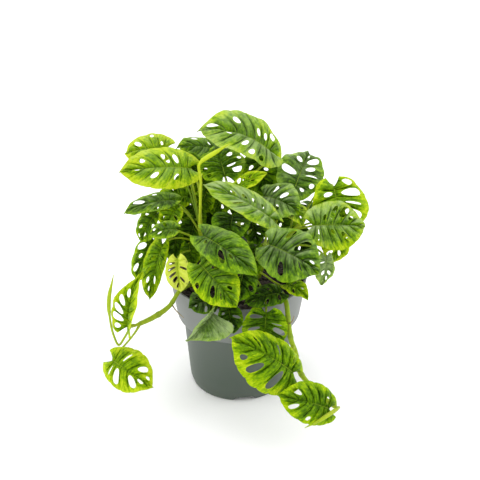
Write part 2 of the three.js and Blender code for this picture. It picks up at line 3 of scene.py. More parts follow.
import bpy
import numpy as np
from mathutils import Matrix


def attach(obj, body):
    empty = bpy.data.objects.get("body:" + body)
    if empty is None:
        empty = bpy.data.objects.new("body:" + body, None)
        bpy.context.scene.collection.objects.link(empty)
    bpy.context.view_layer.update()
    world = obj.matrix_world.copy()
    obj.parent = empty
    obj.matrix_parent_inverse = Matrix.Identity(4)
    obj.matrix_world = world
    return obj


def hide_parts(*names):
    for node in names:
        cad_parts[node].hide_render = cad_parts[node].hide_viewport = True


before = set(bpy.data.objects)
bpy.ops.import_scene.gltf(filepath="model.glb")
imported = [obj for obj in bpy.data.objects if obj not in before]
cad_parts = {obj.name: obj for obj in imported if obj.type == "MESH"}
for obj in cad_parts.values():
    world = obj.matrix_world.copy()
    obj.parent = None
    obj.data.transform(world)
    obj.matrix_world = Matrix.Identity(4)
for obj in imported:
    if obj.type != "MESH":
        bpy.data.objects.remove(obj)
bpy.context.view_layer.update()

MM = 0.001

# --- Camera ---------------------------------------------------------------------------------------
# A long lens stands in front of the plant and looks down on it, so that the pot's rim shows as an
# open ellipse. It is not part of the object.
AIM = (0.0018, 0.0, 0.2)
CAMERA_RISE = math.radians(31.84)
CAMERA_DISTANCE = 2.315
LENS_LENGTH = 142.5
LENS_FRAME = 36.0

lens = bpy.data.cameras.new("camera")
lens.lens = LENS_LENGTH
lens.sensor_width = LENS_FRAME
camera = bpy.data.objects.new("camera", lens)
camera.location = (
    AIM[0],
    AIM[1] - CAMERA_DISTANCE * math.cos(CAMERA_RISE),
    AIM[2] + CAMERA_DISTANCE * math.sin(CAMERA_RISE),
)
camera.rotation_euler = (math.pi / 2 - CAMERA_RISE, 0, 0)
bpy.context.collection.objects.link(camera)
bpy.context.scene.camera = camera

# --- Floor and light ------------------------------------------------------------------------------
# A white sweep in a bright tent: a broad lamp behind and above, one low at each side, and white walls
# all round. The floor is plain white card.
FLOOR_HALF = 15.0
FLOOR_WHITE = (0.95, 0.95, 0.95, 1)
FLOOR_ROUGHNESS = 0.9
TENT_STRENGTH = 1.08
# name, strength, height and turn in degrees, softness in degrees
LAMPS = [
    ("lamp_back", 1.1, 60, 190, 50),
    ("lamp_left", 1.1, 30, -75, 60),
    ("lamp_right", 0.9, 30, 80, 60),
]

scene = bpy.context.scene
scene.view_settings.view_transform = "Standard"
scene.world = bpy.data.worlds.new("tent")
scene.world.use_nodes = True
tent = scene.world.node_tree.nodes["Background"]
tent.inputs["Color"].default_value = (1, 1, 1, 1)
tent.inputs["Strength"].default_value = TENT_STRENGTH
for name, strength, height, turn, softness in LAMPS:
    sun = bpy.data.lights.new(name, "SUN")
    sun.energy = strength
    sun.angle = math.radians(softness)
    lamp = bpy.data.objects.new(name, sun)
    lamp.rotation_euler = (math.radians(90 - height), 0, math.radians(turn))
    bpy.context.collection.objects.link(lamp)

card = bpy.data.materials.new("white_card")
card.use_nodes = True
card_sockets = card.node_tree.nodes["Principled BSDF"].inputs
card_sockets["Base Color"].default_value = FLOOR_WHITE
card_sockets["Roughness"].default_value = FLOOR_ROUGHNESS
floor_mesh = bpy.data.meshes.new("floor")
corners = np.array([[-1, -1, 0], [1, -1, 0], [1, 1, 0], [-1, 1, 0]]) * FLOOR_HALF
floor_mesh.from_pydata(corners.tolist(), [], [[0, 1, 2, 3]])
floor_mesh.materials.append(card)
floor = bpy.data.objects.new("floor", floor_mesh)
bpy.context.collection.objects.link(floor)

# --- Pot ------------------------------------------------------------------------------------------
# One injection-moulded grow pot of grey-green plastic with a 2 mm wall: a tapered body, a step, a
# wider collar and a rim, a foot ring with four notches, and a base with four drain holes.
POT_TURNS = 192
POT_WALL = 2 * MM
# radius, height in mm along the middle of the wall, from the centre of the base to the rim, and how
# far each corner is eased
POT_PROFILE = [
    (0, 1, 0), (19.5, 1, 1.2), (21.5, 6, 1.2), (46.4, 6, 1.2), (47.7, 1, 1), (57.2, 1, 1.4),
    (59.6, 9, 4), (67.5, 95, 1.5), (75, 99.3, 2.5), (83.7, 153.3, 0),
]
BASE_LIFT = 6 * MM
FOOT_INNER = 47 * MM
DRAIN_CIRCLE = 34 * MM
DRAIN_RADIUS = 4 * MM
DRAIN_CELL = 7 * MM
DRAIN_STEPS = 12
NOTCH_WIDTH = 29 * MM
NOTCH_SLOPE = 4 * MM
NOTCH_LIFT = 6.5 * MM
NOTCH_TURN = 0.13
EASE_STEPS = 6
# the share of a cell, from its middle, that a hole takes up
HOLE_RING = 0.5
POT_GREEN = (0.056, 0.076, 0.057, 1)
POT_PALE = (0.240, 0.246, 0.240, 1)
POT_DUST = (0.22, 0.22, 0.20, 1)


class Shade:
    """One number or colour of a material's node tree. Operators on it add Math nodes."""

    def __init__(self, tree, socket=None):
        self.tree = tree
        self.socket = socket

    def node(self, kind, settings=None, sockets=None, output=0):
        """Adds a shader node, sets it up, joins its sockets and gives one of its outputs."""
        node = self.tree.nodes.new(kind)
        for key, value in (settings or {}).items():
            if key == "stops":
                ramp = node.color_ramp.elements
                while len(ramp) < len(value):
                    ramp.new(0.5)
                for element, (place, colour) in zip(ramp, value):
                    element.position = place
                    element.color = colour
            else:
                setattr(node, key, value)
        for key, value in (sockets or {}).items():
            if isinstance(value, Shade):
                self.tree.links.new(value.socket, node.inputs[key])
            else:
                node.inputs[key].default_value = value
        return Shade(self.tree, node.outputs[output] if node.outputs else None)

    def part(self, output):
        """Another output of the node that this one comes from."""
        return Shade(self.tree, self.socket.node.outputs[output])

    def math(self, operation, *values):
        """A Math node's result on these numbers or sockets."""
        return self.node("ShaderNodeMath", {"operation": operation}, dict(enumerate(values)))

    def noise(self, place, scale, detail, **more):
        """Cloudy noise from 0 to 1 whose spots are about 1 / scale wide, and finer as detail grows."""
        sockets = {"Vector": place, "Scale": scale, "Detail": detail, **more}
        return self.node("ShaderNodeTexNoise", None, sockets)

    def bump(self, height, strength, distance):
        """The normal of a surface that rises by distance where height goes from 0 to 1."""
        sockets = {"Strength": strength, "Distance": distance, "Height": height}
        return self.node("ShaderNodeBump", None, sockets)

    def __add__(self, other):
        return self.math("ADD", self, other)

    def __radd__(self, other):
        return self.math("ADD", other, self)

    def __sub__(self, other):
        return self.math("SUBTRACT", self, other)

    def __rsub__(self, other):
        return self.math("SUBTRACT", other, self)

    def __mul__(self, other):
        return self.math("MULTIPLY", self, other)

    def __rmul__(self, other):
        return self.math("MULTIPLY", other, self)

    def __abs__(self):
        return self.math("ABSOLUTE", self)

    def ease(self, low, high):
        """0 up to low, 1 from high, and an S-curve between them; low may be the greater."""
        sockets = {"Value": self, "From Min": low, "From Max": high}
        return self.node("ShaderNodeMapRange", {"interpolation_type": "SMOOTHSTEP"}, sockets)

    def between(self, first, second):
        """The colour this far on the way from the first to the second."""
        return self.node("ShaderNodeMix", {"data_type": "RGBA"}, {0: self, 6: first, 7: second}, 2)


def start_material(name):
    """A new material, its empty tree, and the place on the piece in metres."""
    material = bpy.data.materials.new(name)
    material.use_nodes = True
    material.node_tree.nodes.clear()
    shade = Shade(material.node_tree)
    return material, shade, shade.node("ShaderNodeTexCoord", output="Object")


def finish_material(material, shade, finish, glow=None):
    """Ends the tree in a Principled shader with the sockets of finish. glow, for thin leaf: the share
    and the colour of the light that goes through."""
    surface = shade.node("ShaderNodeBsdfPrincipled", None, finish)
    if glow:
        through = shade.node("ShaderNodeBsdfTranslucent", None, {"Color": glow[1]})
        surface = shade.node("ShaderNodeMixShader", None, {0: glow[0], 1: surface, 2: through})
    shade.node("ShaderNodeOutputMaterial", None, {"Surface": surface})
    return material


def pot_plastic():
    """Matt grey-green plastic: paler on the collar, from the step at 94 to 101 mm, and the whole wall a
    little paler from the foot up toward the rim, which is painted light from above; cloudy in the large,
    grained in the small, dusty at the foot."""
    material, shade, place = start_material("pot_plastic")
    height = shade.node("ShaderNodeSeparateXYZ", None, {0: place}, "Z")
    cloud = shade.noise(place, 22, 4)
    grain = shade.noise(place, 1500, 2)
    specks = shade.node("ShaderNodeTexVoronoi", None, {"Vector": place, "Scale": 160}, "Distance")
    # The middle term paints light from above: the wall a little lighter from the foot up toward the rim.
    paler = height.ease(0.094, 0.101) * 0.45 + height.ease(0.02, 0.16) * 0.15 + (cloud - 0.5) * 0.12
    plastic = paler.between(POT_GREEN, POT_PALE)
    dust = specks.ease(0.12, 0.04) * cloud.ease(0.5, 0.75) * 0.35 + height.ease(0.03, 0.0) * cloud * 0.12
    return finish_material(material, shade, {
        "Base Color": dust.between(plastic, POT_DUST),
        "Roughness": 0.42 + cloud * 0.16,
        "Normal": shade.bump(grain, 0.25, 0.12 * MM),
    })


def eased_profile(profile):
    """The profile's corners as arcs: (1-s)^2 A + 2 s (1-s) corner + s^2 B, where A and B lie on the
    two sides, as far from the corner as it is eased."""
    points = np.array(profile)[:, :2]
    ease = np.array(profile)[1:-1, 2:]
    back = points[:-2] - points[1:-1]
    on = points[2:] - points[1:-1]
    back = points[1:-1] + back / np.linalg.norm(back, axis=1, keepdims=True) * ease
    on = points[1:-1] + on / np.linalg.norm(on, axis=1, keepdims=True) * ease
    s = np.linspace(0, 1, EASE_STEPS)[:, None, None]
    arcs = (1 - s) ** 2 * back + 2 * s * (1 - s) * points[1:-1] + s**2 * on
    return np.vstack([points[:1], arcs.transpose(1, 0, 2).reshape(-1, 2), points[-1:]]) * MM


def round_hole(a, b, x, y, hole):
    """Opens an ellipse in a cell whose grid runs from -1 to 1 in a and in b. A point keeps its place
    (x, y) on the cell's border and moves to the ellipse, centre + half size * (a, b) / |(a, b)|,
    where max(|a|, |b|) is HOLE_RING, with an even blend between. hole: centre x, y, half size x, y."""
    ring = np.maximum(abs(a), abs(b))
    share = np.clip((ring - HOLE_RING) / (1 - HOLE_RING), 0, 1)
    reach = np.maximum(np.hypot(a, b), 1e-6)
    ellipse_x = hole[0] + hole[2] * a / reach
    ellipse_y = hole[1] + hole[3] * b / reach
    return share * x + (1 - share) * ellipse_x, share * y + (1 - share) * ellipse_y, share


def thicken(points, faces, above, below):
    """A sheet as a closed wall: the points moved out by above and in by below along the sheet's
    normals, the inner faces turned round, and a strip of quads along every free edge."""
    count = len(points)
    normal = np.zeros_like(points)
    edges = []
    for group in faces:
        corner = points[group]
        across = np.cross(corner[:, 2] - corner[:, 0], corner[:, -1] - corner[:, 1])
        np.add.at(normal, group, across[:, None])
        edges.append(np.stack([group, np.roll(group, -1, axis=1)], -1).reshape(-1, 2))
    normal /= np.maximum(np.linalg.norm(normal, axis=1, keepdims=True), 1e-12)
    edges = np.concatenate(edges)
    free = edges[~np.isin(edges @ [count, 1], edges @ [1, count])]
    strip = np.column_stack([free[:, 1], free[:, 0], free[:, 0] + count, free[:, 1] + count])
    wall = [*faces, *(group[:, ::-1] + count for group in faces), strip]
    return np.vstack([points + normal * above, points - normal * below]), wall


def used_only(points, faces, *carried):
    """Drops the points that no face uses, with what they carry."""
    used = np.unique(np.concatenate([group.ravel() for group in faces]))
    renumber = np.zeros(len(points), int)
    renumber[used] = np.arange(len(used))
    return points[used], [renumber[group] for group in faces], *(values[used] for values in carried)


def add_piece(name, skins, crease=45):
    """One object that rides on the plant's only body, out of several skins. A skin has points, faces
    as groups of quads or triangles, a material, and may have uv and marks for its points. Where the
    first has uv, those without lie at 0, 0."""
    starts = np.cumsum([0] + [len(skin["points"]) for skin in skins])
    faces = []
    finish = []
    for k, skin in enumerate(skins):
        for group in skin["faces"]:
            faces += (group + starts[k]).tolist()
            finish += [k] * len(group)
    points = np.vstack([skin["points"] for skin in skins])
    mesh = bpy.data.meshes.new(name)
    mesh.from_pydata(points.tolist(), [], faces)
    mesh.polygons.foreach_set("use_smooth", np.ones(len(faces), bool))
    mesh.polygons.foreach_set("material_index", finish)
    mesh.set_sharp_from_angle(angle=math.radians(crease))
    for skin in skins:
        mesh.materials.append(skin["material"])
    if "uv" in skins[0]:
        corner = np.zeros(len(mesh.loops), np.int32)
        mesh.loops.foreach_get("vertex_index", corner)
        uv = np.vstack([skin.get("uv", np.zeros((len(skin["points"]), 2))) for skin in skins])[corner]
        mesh.uv_layers.new(name="surface").data.foreach_set("uv", uv.astype(np.float32).ravel())
    if "marks" in skins[0]:
        marks = np.vstack([skin["marks"] for skin in skins]).astype(np.float32)
        mesh.attributes.new("marks", "FLOAT_COLOR", "POINT").data.foreach_set("color", marks.ravel())
    piece = bpy.data.objects.new(name, mesh)
    bpy.context.collection.objects.link(piece)
    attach(piece, "root")
    return piece


def ring_quads(rings, sides):
    """The points of closed rings by number, those one step on round each ring, and the quads between
    one ring and the next."""
    index = np.arange(rings * sides).reshape(rings, sides)
    on = np.roll(index, -1, axis=1)
    return index, on, np.stack([index[:-1], index[1:], on[1:], on[:-1]], -1)


def fan(centre, first, second):
    """A triangle from the point numbered centre to each pair of points of a ring."""
    return np.column_stack([np.full(len(first), centre), first, second])


def pot_sheet():
    """The middle of the wall: the profile turned about Z, with columns along the turn. Between two
    rows of the base the grid opens round the drains, and the foot is lifted at the notches."""
    rim = eased_profile(POT_PROFILE)
    low, high = DRAIN_CIRCLE - DRAIN_CELL, DRAIN_CIRCLE + DRAIN_CELL
    before = np.searchsorted(rim[:, 0], low)
    base = np.column_stack([np.linspace(low, high, DRAIN_STEPS + 1), np.full(DRAIN_STEPS + 1, BASE_LIFT)])
    profile = np.vstack([rim[1:before], base, rim[before:]])
    rows, columns = np.meshgrid(np.arange(len(profile)), np.arange(POT_TURNS), indexing="ij")
    radius = profile[rows, 0]
    turn = columns * 2 * np.pi / POT_TURNS
    first = before - 1
    quarter = (columns + POT_TURNS // 8) % (POT_TURNS // 4) - POT_TURNS // 8
    a = quarter * 2 / DRAIN_STEPS
    b = (rows - first) * 2 / DRAIN_STEPS - 1
    inside = (abs(a) <= 1) & (abs(b) <= 1)
    sideways = quarter * 2 * np.pi / POT_TURNS * DRAIN_CIRCLE
    x, y, _ = round_hole(a, b, sideways, radius, (0, DRAIN_CIRCLE, DRAIN_RADIUS, DRAIN_RADIUS))
    turn = np.where(inside, turn + (x - sideways) / DRAIN_CIRCLE, turn)
    radius = np.where(inside, y, radius)
    height = profile[rows, 1]
    toward_notch = abs((turn - NOTCH_TURN + np.pi / 4) % (np.pi / 2) - np.pi / 4) * radius
    lift = NOTCH_LIFT * np.clip((NOTCH_WIDTH / 2 - toward_notch) / NOTCH_SLOPE, 0, 1)
    height = np.where(radius > FOOT_INNER, np.maximum(height, lift), height)
    points = np.stack([radius * np.cos(turn), radius * np.sin(turn), height], -1).reshape(-1, 3)
    index, on, quads = ring_quads(len(profile), POT_TURNS)
    middle_a = a[:-1] + 1 / DRAIN_STEPS
    middle_b = b[:-1] + 1 / DRAIN_STEPS
    open_drain = (abs(middle_a) < HOLE_RING) & (abs(middle_b) < HOLE_RING)
    centre = fan(len(points), index[0], on[0])
    points = np.append(points, [[0, 0, profile[0, 1]]], axis=0)
    return used_only(points, [quads[~open_drain], centre])


pot_points, pot_faces = pot_sheet()
pot_points, pot_faces = thicken(pot_points, pot_faces, POT_WALL / 2, POT_WALL / 2)
pot_skin = {"points": pot_points, "faces": pot_faces, "material": pot_plastic()}
pot = add_piece("pot_moulding", [pot_skin], crease=35)
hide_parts("pot")

# --- Potting mix and mulch ------------------------------------------------------------------------
# Dark peat fills the pot to 15 mm under the rim, with a lumpy top. Loose flakes of bark and a few
# pale bits lie on it, each pressed in a little.
SOIL_LEVEL = 139 * MM
SOIL_TURNS = 120
SOIL_RINGS = 46
# radius and height in mm of the plug's side, from the top edge to the middle of its foot
SOIL_SIDE = [(80.2, 137), (73.5, 102.5), (66, 97.5), (57, 12), (55, 7.6), (0, 7.6)]
SOIL_EDGE = 80.2 * MM
CHIP_COUNT = 620
CHIP_CLEAR = 7 * MM
CHIP_SEED = 7
CHIP_RINGS = 4
CHIP_SIDES = 6
# half length, half width and half thickness in mm of the smallest and the largest flake
CHIP_SMALLEST = (2.2, 1.3, 0.6)
CHIP_LARGEST = (6.5, 3.2, 1.5)
CHIP_TIP = 0.3
CHIP_RISE = 0.6
PEAT_DARK = (0.006, 0.005, 0.004, 1)
PEAT_BROWN = (0.028, 0.020, 0.014, 1)
BARK_DARK = (0.016, 0.011, 0.008, 1)
BARK_BROWN = (0.075, 0.050, 0.036, 1)
BARK_PALE = (0.34, 0.32, 0.33, 1)


def soil_height(x, y):
    """Slow waves, 2.2 mm * sin(210 x + 1) * cos(170 y), with finer lumps of five turned sine waves."""
    height = 2.2 * np.sin(210 * x + 1) * np.cos(170 * y)
    for k in range(5):
        turn = 1.3 * k + 0.4
        along = np.cos(turn) * x + np.sin(turn) * y
        across = np.cos(turn) * y - np.sin(turn) * x
        height += 0.5 * np.sin((520 + 170 * k) * along + k) * np.sin((430 + 150 * k) * across + 2 * k)
    return SOIL_LEVEL + height * MM


def closed_rings(rings, ends):
    """A skin through rings of points: quads between them, and a fan of triangles from the middle of
    each end."""
    index, on, quads = ring_quads(*rings.shape[:2])
    fans = np.vstack([fan(index.size, index[0], on[0]), fan(index.size + 1, on[-1], index[-1])])
    return np.vstack([rings.reshape(-1, 3), ends]), [quads.reshape(-1, 4), fans]


def soil_plug():
    """Rings from the middle of the top out to the wall, following soil_height less 2 mm times the
    sixth power of the way out, then down the side."""
    radius = np.linspace(0, SOIL_EDGE, SOIL_RINGS + 1)[1:]
    turn = np.arange(SOIL_TURNS) * 2 * np.pi / SOIL_TURNS
    x = radius[:, None] * np.cos(turn)
    y = radius[:, None] * np.sin(turn)
    drop = 2 * MM * (radius[:, None] / SOIL_EDGE) ** 6
    top = np.stack([x, y, soil_height(x, y) - drop], -1)
    side = np.array(SOIL_SIDE[1:-1]) * MM
    height = np.repeat(side[:, 1:], SOIL_TURNS, axis=1)
    down = np.stack([side[:, :1] * np.cos(turn), side[:, :1] * np.sin(turn), height], -1)
    middles = [[0, 0, soil_height(0, 0)], [0, 0, SOIL_SIDE[-1][1] * MM]]
    return closed_rings(np.concatenate([top, down]), middles)


def peat():
    """Crumbly dark peat: fine crumbs in the bump, brown fibres in the colour."""
    material, shade, place = start_material("peat")
    crumb = shade.noise(place, 420, 6, Roughness=0.7)
    fibre = shade.noise(place, 150, 3, Distortion=2)
    return finish_material(material, shade, {
        "Base Color": (crumb * 0.6 + fibre.ease(0.45, 0.65) * 0.5).between(PEAT_DARK, PEAT_BROWN),
        "Roughness": 0.9,
        "Specular IOR Level": 0.2,
        "Normal": shade.bump(crumb, 0.9, 1.5 * MM),
    })


soil_points, soil_faces = soil_plug()
soil_skin = {"points": soil_points, "faces": soil_faces, "material": peat()}
soil = add_piece("potting_mix", [soil_skin], crease=60)
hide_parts("soil")


def mulch_flakes(seed):
    """Flakes as small squashed balls of four rings and two poles: (cos p cos q, cos p sin q, sin p)
    times a flake's half sizes, each point moved by chance. A flake is tipped by about CHIP_TIP in
    radians, turned, and laid CHIP_RISE of its half thickness above the mix."""
    draw = np.random.default_rng(seed)
    p = np.linspace(-0.5, 0.5, CHIP_RINGS + 2)[1:-1, None] * np.pi
    q = np.arange(CHIP_SIDES) * 2 * np.pi / CHIP_SIDES
    ball = np.stack([np.cos(p) * np.cos(q), np.cos(p) * np.sin(q), np.sin(p) + 0 * q], -1).reshape(-1, 3)
    ball = np.vstack([ball, [[0, 0, -1], [0, 0, 1]]])
    size = draw.uniform(CHIP_SMALLEST, CHIP_LARGEST, (CHIP_COUNT, 3)) * MM
    flakes = ball * size[:, None] * draw.uniform(0.75, 1.2, (CHIP_COUNT, len(ball), 1))
    turn = draw.uniform(0, 2 * np.pi, CHIP_COUNT)
    tip = draw.normal(0, CHIP_TIP, CHIP_COUNT)
    no, one = np.zeros(CHIP_COUNT), np.ones(CHIP_COUNT)
    tilt = np.array([[np.cos(tip), no, np.sin(tip)], [no, one, no], [-np.sin(tip), no, np.cos(tip)]])
    spin = np.array([[np.cos(turn), -np.sin(turn), no], [np.sin(turn), np.cos(turn), no], [no, no, one]])
    flakes = np.einsum("ijn,jkn,nvk->nvi", spin, tilt, flakes)
    radius = np.sqrt(draw.uniform(0, 1, CHIP_COUNT)) * (SOIL_EDGE - CHIP_CLEAR)
    angle = draw.uniform(0, 2 * np.pi, CHIP_COUNT)
    x, y = radius * np.cos(angle), radius * np.sin(angle)
    flakes += np.stack([x, y, soil_height(x, y) + size[:, 2] * CHIP_RISE], -1)[:, None]
    index, on, _ = ring_quads(CHIP_RINGS, CHIP_SIDES)
    quads = np.stack([index[:-1], on[:-1], on[1:], index[1:]], -1).reshape(-1, 4)
    caps = np.vstack([fan(index.size, on[0], index[0]), fan(index.size + 1, index[-1], on[-1])])
    start = np.arange(CHIP_COUNT)[:, None, None] * len(ball)
    tone = np.repeat(draw.uniform(0, 1, CHIP_COUNT), len(ball))
    marks = np.column_stack([tone, 0 * tone, 0 * tone, 1 + 0 * tone])
    return flakes.reshape(-1, 3), [(quads + start).reshape(-1, 4), (caps + start).reshape(-1, 3)], marks


def read_marks(shade):
    """The four marks that a point of a skin carries."""
    marks = shade.node("ShaderNodeAttribute", {"attribute_name": "marks"}, output="Color")
    split = shade.node("ShaderNodeSeparateColor", None, {0: marks})
    return split.part("Red"), split.part("Green"), split.part("Blue"), marks.part("Alpha")


def bark():
    """Weathered bark: each flake has a tone of its own, a few are pale, with a fibrous grain."""
    material, shade, place = start_material("bark")
    tone, _, _, _ = read_marks(shade)
    grain = shade.noise(place, 380, 4, Distortion=1.5)
    brown = (tone * 0.7 + grain * 0.5 - 0.2).between(BARK_DARK, BARK_BROWN)
    return finish_material(material, shade, {
        "Base Color": tone.ease(0.86, 0.95).between(brown, BARK_PALE),
        "Roughness": 0.8,
        "Normal": shade.bump(grain, 0.7, 0.6 * MM),
    })


flake_points, flake_faces, flake_marks = mulch_flakes(CHIP_SEED)
flake_skin = {"points": flake_points, "faces": flake_faces, "material": bark(), "marks": flake_marks}
mulch = add_piece("mulch", [flake_skin])

# --- Stems and vines ------------------------------------------------------------------------------
# Six green stems and two shorter shoots stand in the mix, and two vines hang over the rim. Each is
# round, with a raised ring at every node, brown where an old sheath has dried. The vines carry roots.
STEM_RADIUS = 2.6 * MM
VINE_RADIUS = 3.1 * MM
ROOT_RADIUS = 0.9 * MM
NODE_PITCH = 24 * MM
NODE_REACH = 2.2 * MM
SHOOT_ROUNDING = 3 * MM
STEM_SIDES = 14
STEM_STEPS = 401
SPLINE_STEPS = 60
RING_PITCH = 1.1 * MM
ROOT_RINGS = 24
ROOT_SIDES = 8
SHOOT_YELLOWNESS = 0.22
# points: the middle line in mm, from the foot to the tip; root: an aerial root's, the same way; radius:
# where it is not the stems'; sheath: the shares of the length between which a dry sheath wraps the shoot
STEMS = {
    "stem_crown": dict(points=[(4, 12, 95), (5, 14, 150), (0, 22, 200), (6, 34, 245), (14, 42, 262)]),
    "stem_left": dict(points=[(-22, 4, 95), (-24, 2, 145), (-34, -4, 180), (-44, -8, 206), (-47, -8, 222)]),
    "stem_right": dict(points=[(24, 8, 95), (26, 8, 145), (44, 8, 180), (64, 8, 205), (78, 6, 222)]),
    "stem_back": dict(points=[(8, 34, 95), (10, 36, 145), (14, 54, 180), (10, 68, 200), (4, 74, 214)]),
    "stem_front": dict(
        points=[(-4, -22, 95), (-5, -26, 145), (-12, -44, 172), (-16, -54, 190), (-20, -60, 204)],
    ),
    "stem_middle": dict(
        points=[(10, -8, 95), (12, -10, 145), (22, -22, 185), (30, -34, 206), (32, -40, 220)],
    ),
    "vine_right": dict(
        points=[
            (38, -24, 95), (40, -30, 145), (50, -54, 160), (57, -72, 157), (60, -88, 136), (63, -100, 121),
            (68, -108, 109), (71, -115, 92), (82, -121, 75), (104, -128, 54), (118, -132, 45),
        ],
        root=[(60, -88, 136), (64, -96, 146), (66, -100, 156)],
        radius=VINE_RADIUS,
    ),
    "vine_left": dict(
        points=[
            (-34, -12, 95), (-36, -16, 142), (-52, -34, 159), (-70, -50, 160), (-84, -57, 141),
            (-105, -62, 127), (-131, -70, 119),
        ],
        root=[(-81, -56, 144), (-75, -64, 139), (-66, -70, 133)],
        sheath=(0.66, 0.95),
    ),
    "shoot_inner_left": dict(
        points=[(-36, 18, 95), (-38, 20, 145), (-48, 22, 180), (-58, 24, 208), (-62, 26, 232)],
    ),
    "shoot_inner_right": dict(
        points=[(-8, 16, 95), (-10, 20, 145), (-14, 30, 185), (-22, 36, 215), (-26, 38, 234)],
    ),
}
# shares past the end of a shoot
NO_SHEATH = (2, 3)
# each is one piece with its leaves, and is added after them
LEAFY_SHOOTS = ("shoot_inner_left", "shoot_inner_right")
SHOOT_GREEN = (0.085, 0.190, 0.003, 1)
SHOOT_YELLOW = (0.430, 0.530, 0.012, 1)
DRY_BROWN = (0.16, 0.09, 0.035, 1)
DRY_PALE = (0.40, 0.30, 0.15, 1)


def spline(points, count):
    """A centripetal Catmull-Rom curve through the points, at count places evenly spaced along it.
    Between two points it is the cubic with the tangents of the curve whose knots are the square
    roots of the distances; the ends are mirrored."""
    p = np.array(points, float)
    p = np.vstack([2 * p[0] - p[1], p, 2 * p[-1] - p[-2]])
    knot = np.linalg.norm(np.diff(p, axis=0), axis=1, keepdims=True) ** 0.5
    before, here, after = knot[:-2], knot[1:-1], knot[2:]
    a, b, c, d = p[:-3], p[1:-2], p[2:-1], p[3:]
    leave = ((b - a) / before - (c - a) / (before + here) + (c - b) / here) * here
    arrive = ((c - b) / here - (d - b) / (here + after) + (d - c) / after) * here
    s = np.linspace(0, 1, SPLINE_STEPS)[:, None, None]
    fine = b + leave * s + (3 * (c - b) - 2 * leave - arrive) * s**2 + (2 * (b - c) + leave + arrive) * s**3
    return evenly(fine.transpose(1, 0, 2).reshape(-1, 3), count)


def evenly(line, count):
    """count places along a line of points, at equal steps of its length."""
    length = np.append(0, np.cumsum(np.linalg.norm(np.diff(line, axis=0), axis=1)))
    want = np.linspace(0, length[-1], count)
    return np.stack([np.interp(want, length, line[:, k]) for k in range(3)], -1)


def run(line):
    """The length of a line of points."""
    return np.linalg.norm(np.diff(line, axis=0), axis=1).sum()


def tube(path, radius, sides):
    """A round skin: centre + radius * (cos q * across + sin q * up) on every ring, where across is
    square to the path and to the normal of the plane that the path keeps closest to. Both ends are
    closed by a fan. radius has a row for each ring and one column, or one for each side."""
    tangent = np.gradient(path, axis=0)
    tangent /= np.linalg.norm(tangent, axis=1, keepdims=True)
    flat = np.linalg.svd(path - path.mean(axis=0))[2][2]
    flat = flat * (1 if flat[np.argmax(abs(flat))] > 0 else -1)
    across = np.cross(tangent, flat)
    across /= np.linalg.norm(across, axis=1, keepdims=True)
    up = np.cross(across, tangent)
    q = np.arange(sides) * 2 * np.pi / sides
    spoke = across[:, None] * np.cos(q)[:, None] + up[:, None] * np.sin(q)[:, None]
    return closed_rings(path[:, None] + spoke * radius[..., None], [path[0], path[-1]])


def shoot_skin():
    """Green bark of a young shoot. Marks: red, yellowness; green, how dry and brown; blue, how near
    a node. Fine streaks run through it, with small pale spots."""
    material, shade, place = start_material("shoot")
    yellow, dry, node, _ = read_marks(shade)
    streak = shade.noise(place, 260, 4)
    spots = shade.node("ShaderNodeTexVoronoi", None, {"Vector": place, "Scale": 700}, "Distance")
    green = (yellow + (streak - 0.5) * 0.7 - node * 0.15).between(SHOOT_GREEN, SHOOT_YELLOW)
    papery = (streak * 1.3 - 0.15).between(DRY_BROWN, DRY_PALE)
    return finish_material(material, shade, {
        "Base Color": (dry + node * 0.15 * streak).between(green, papery),
        "Roughness": 0.42 + dry * 0.35,
        "Specular IOR Level": 0.2,
        "Normal": shade.bump(streak + spots * 0.3, 0.4, 0.3 * MM),
    })


def shoot_tube(path, radius, sides, *marks):
    """A tube with the skin of the shoots. Each mark has a value for every ring, which all the ring's
    points carry, and the end rings' also the middles of the fans."""
    points, faces = tube(path, radius, sides)
    marks = np.column_stack([*marks, np.ones(len(path))])
    marks = np.vstack([np.repeat(marks, sides, axis=0), marks[:1], marks[-1:]])
    return {"points": points, "faces": faces, "material": skin_of_shoots, "marks": marks}


def shoot(path, thick, sheath):
    """Radius: the shoot's own, thicker by up to a fifth in a ring at each node, by a tenth where a
    sheath wraps it and a fifth more in the sheath's two wings, |cos(q + 0.5)|^3, and thinner by two
    fifths past the sheath, which fades in and out over a tenth of the length. The far end is
    rounded off."""
    length = np.linalg.norm(path[1] - path[0]) * np.arange(len(path))
    share = length / length[-1]
    from_node = abs((length + NODE_PITCH / 2) % NODE_PITCH - NODE_PITCH / 2)
    node = np.exp(-((from_node / NODE_REACH) ** 2))
    start, stop = sheath or NO_SHEATH
    wrapped = np.clip((share - start) / 0.12, 0, 1) * np.clip((stop - share) / 0.1, 0, 1)
    from_end = np.minimum(length[-1] - length, SHOOT_ROUNDING) / SHOOT_ROUNDING
    end = np.sqrt(np.clip(1 - (1 - from_end) ** 2, 0.05, 1))
    q = np.arange(STEM_SIDES) * 2 * np.pi / STEM_SIDES
    wing = abs(np.cos(q + 0.5)) ** 3
    thin = 1 - 0.4 * np.clip((share - stop + 0.04) / 0.06, 0, 1)
    radius = thick * end * thin * (1 + 0.2 * node + wrapped * 0.1)
    radius = radius[:, None] * (1 + 0.2 * wrapped[:, None] * wing)
    dry = 0.05 * wrapped * (share * 9 % 1)
    return shoot_tube(path, radius, STEM_SIDES, SHOOT_YELLOWNESS + 0.35 * share, dry, node)


def aerial_root(points):
    """A brown thread from a node: radius falls from 1 mm to a third of it, with a slight wobble."""
    path = spline(np.array(points) * MM, ROOT_RINGS)
    s = np.linspace(0, 1, ROOT_RINGS)
    radius = ROOT_RADIUS * (1.1 - 0.75 * s) * (1 + 0.12 * np.sin(40 * s))
    return shoot_tube(path, radius[:, None], ROOT_SIDES, 0.2 + 0 * s, 0.75 + 0.25 * s, 0 * s)


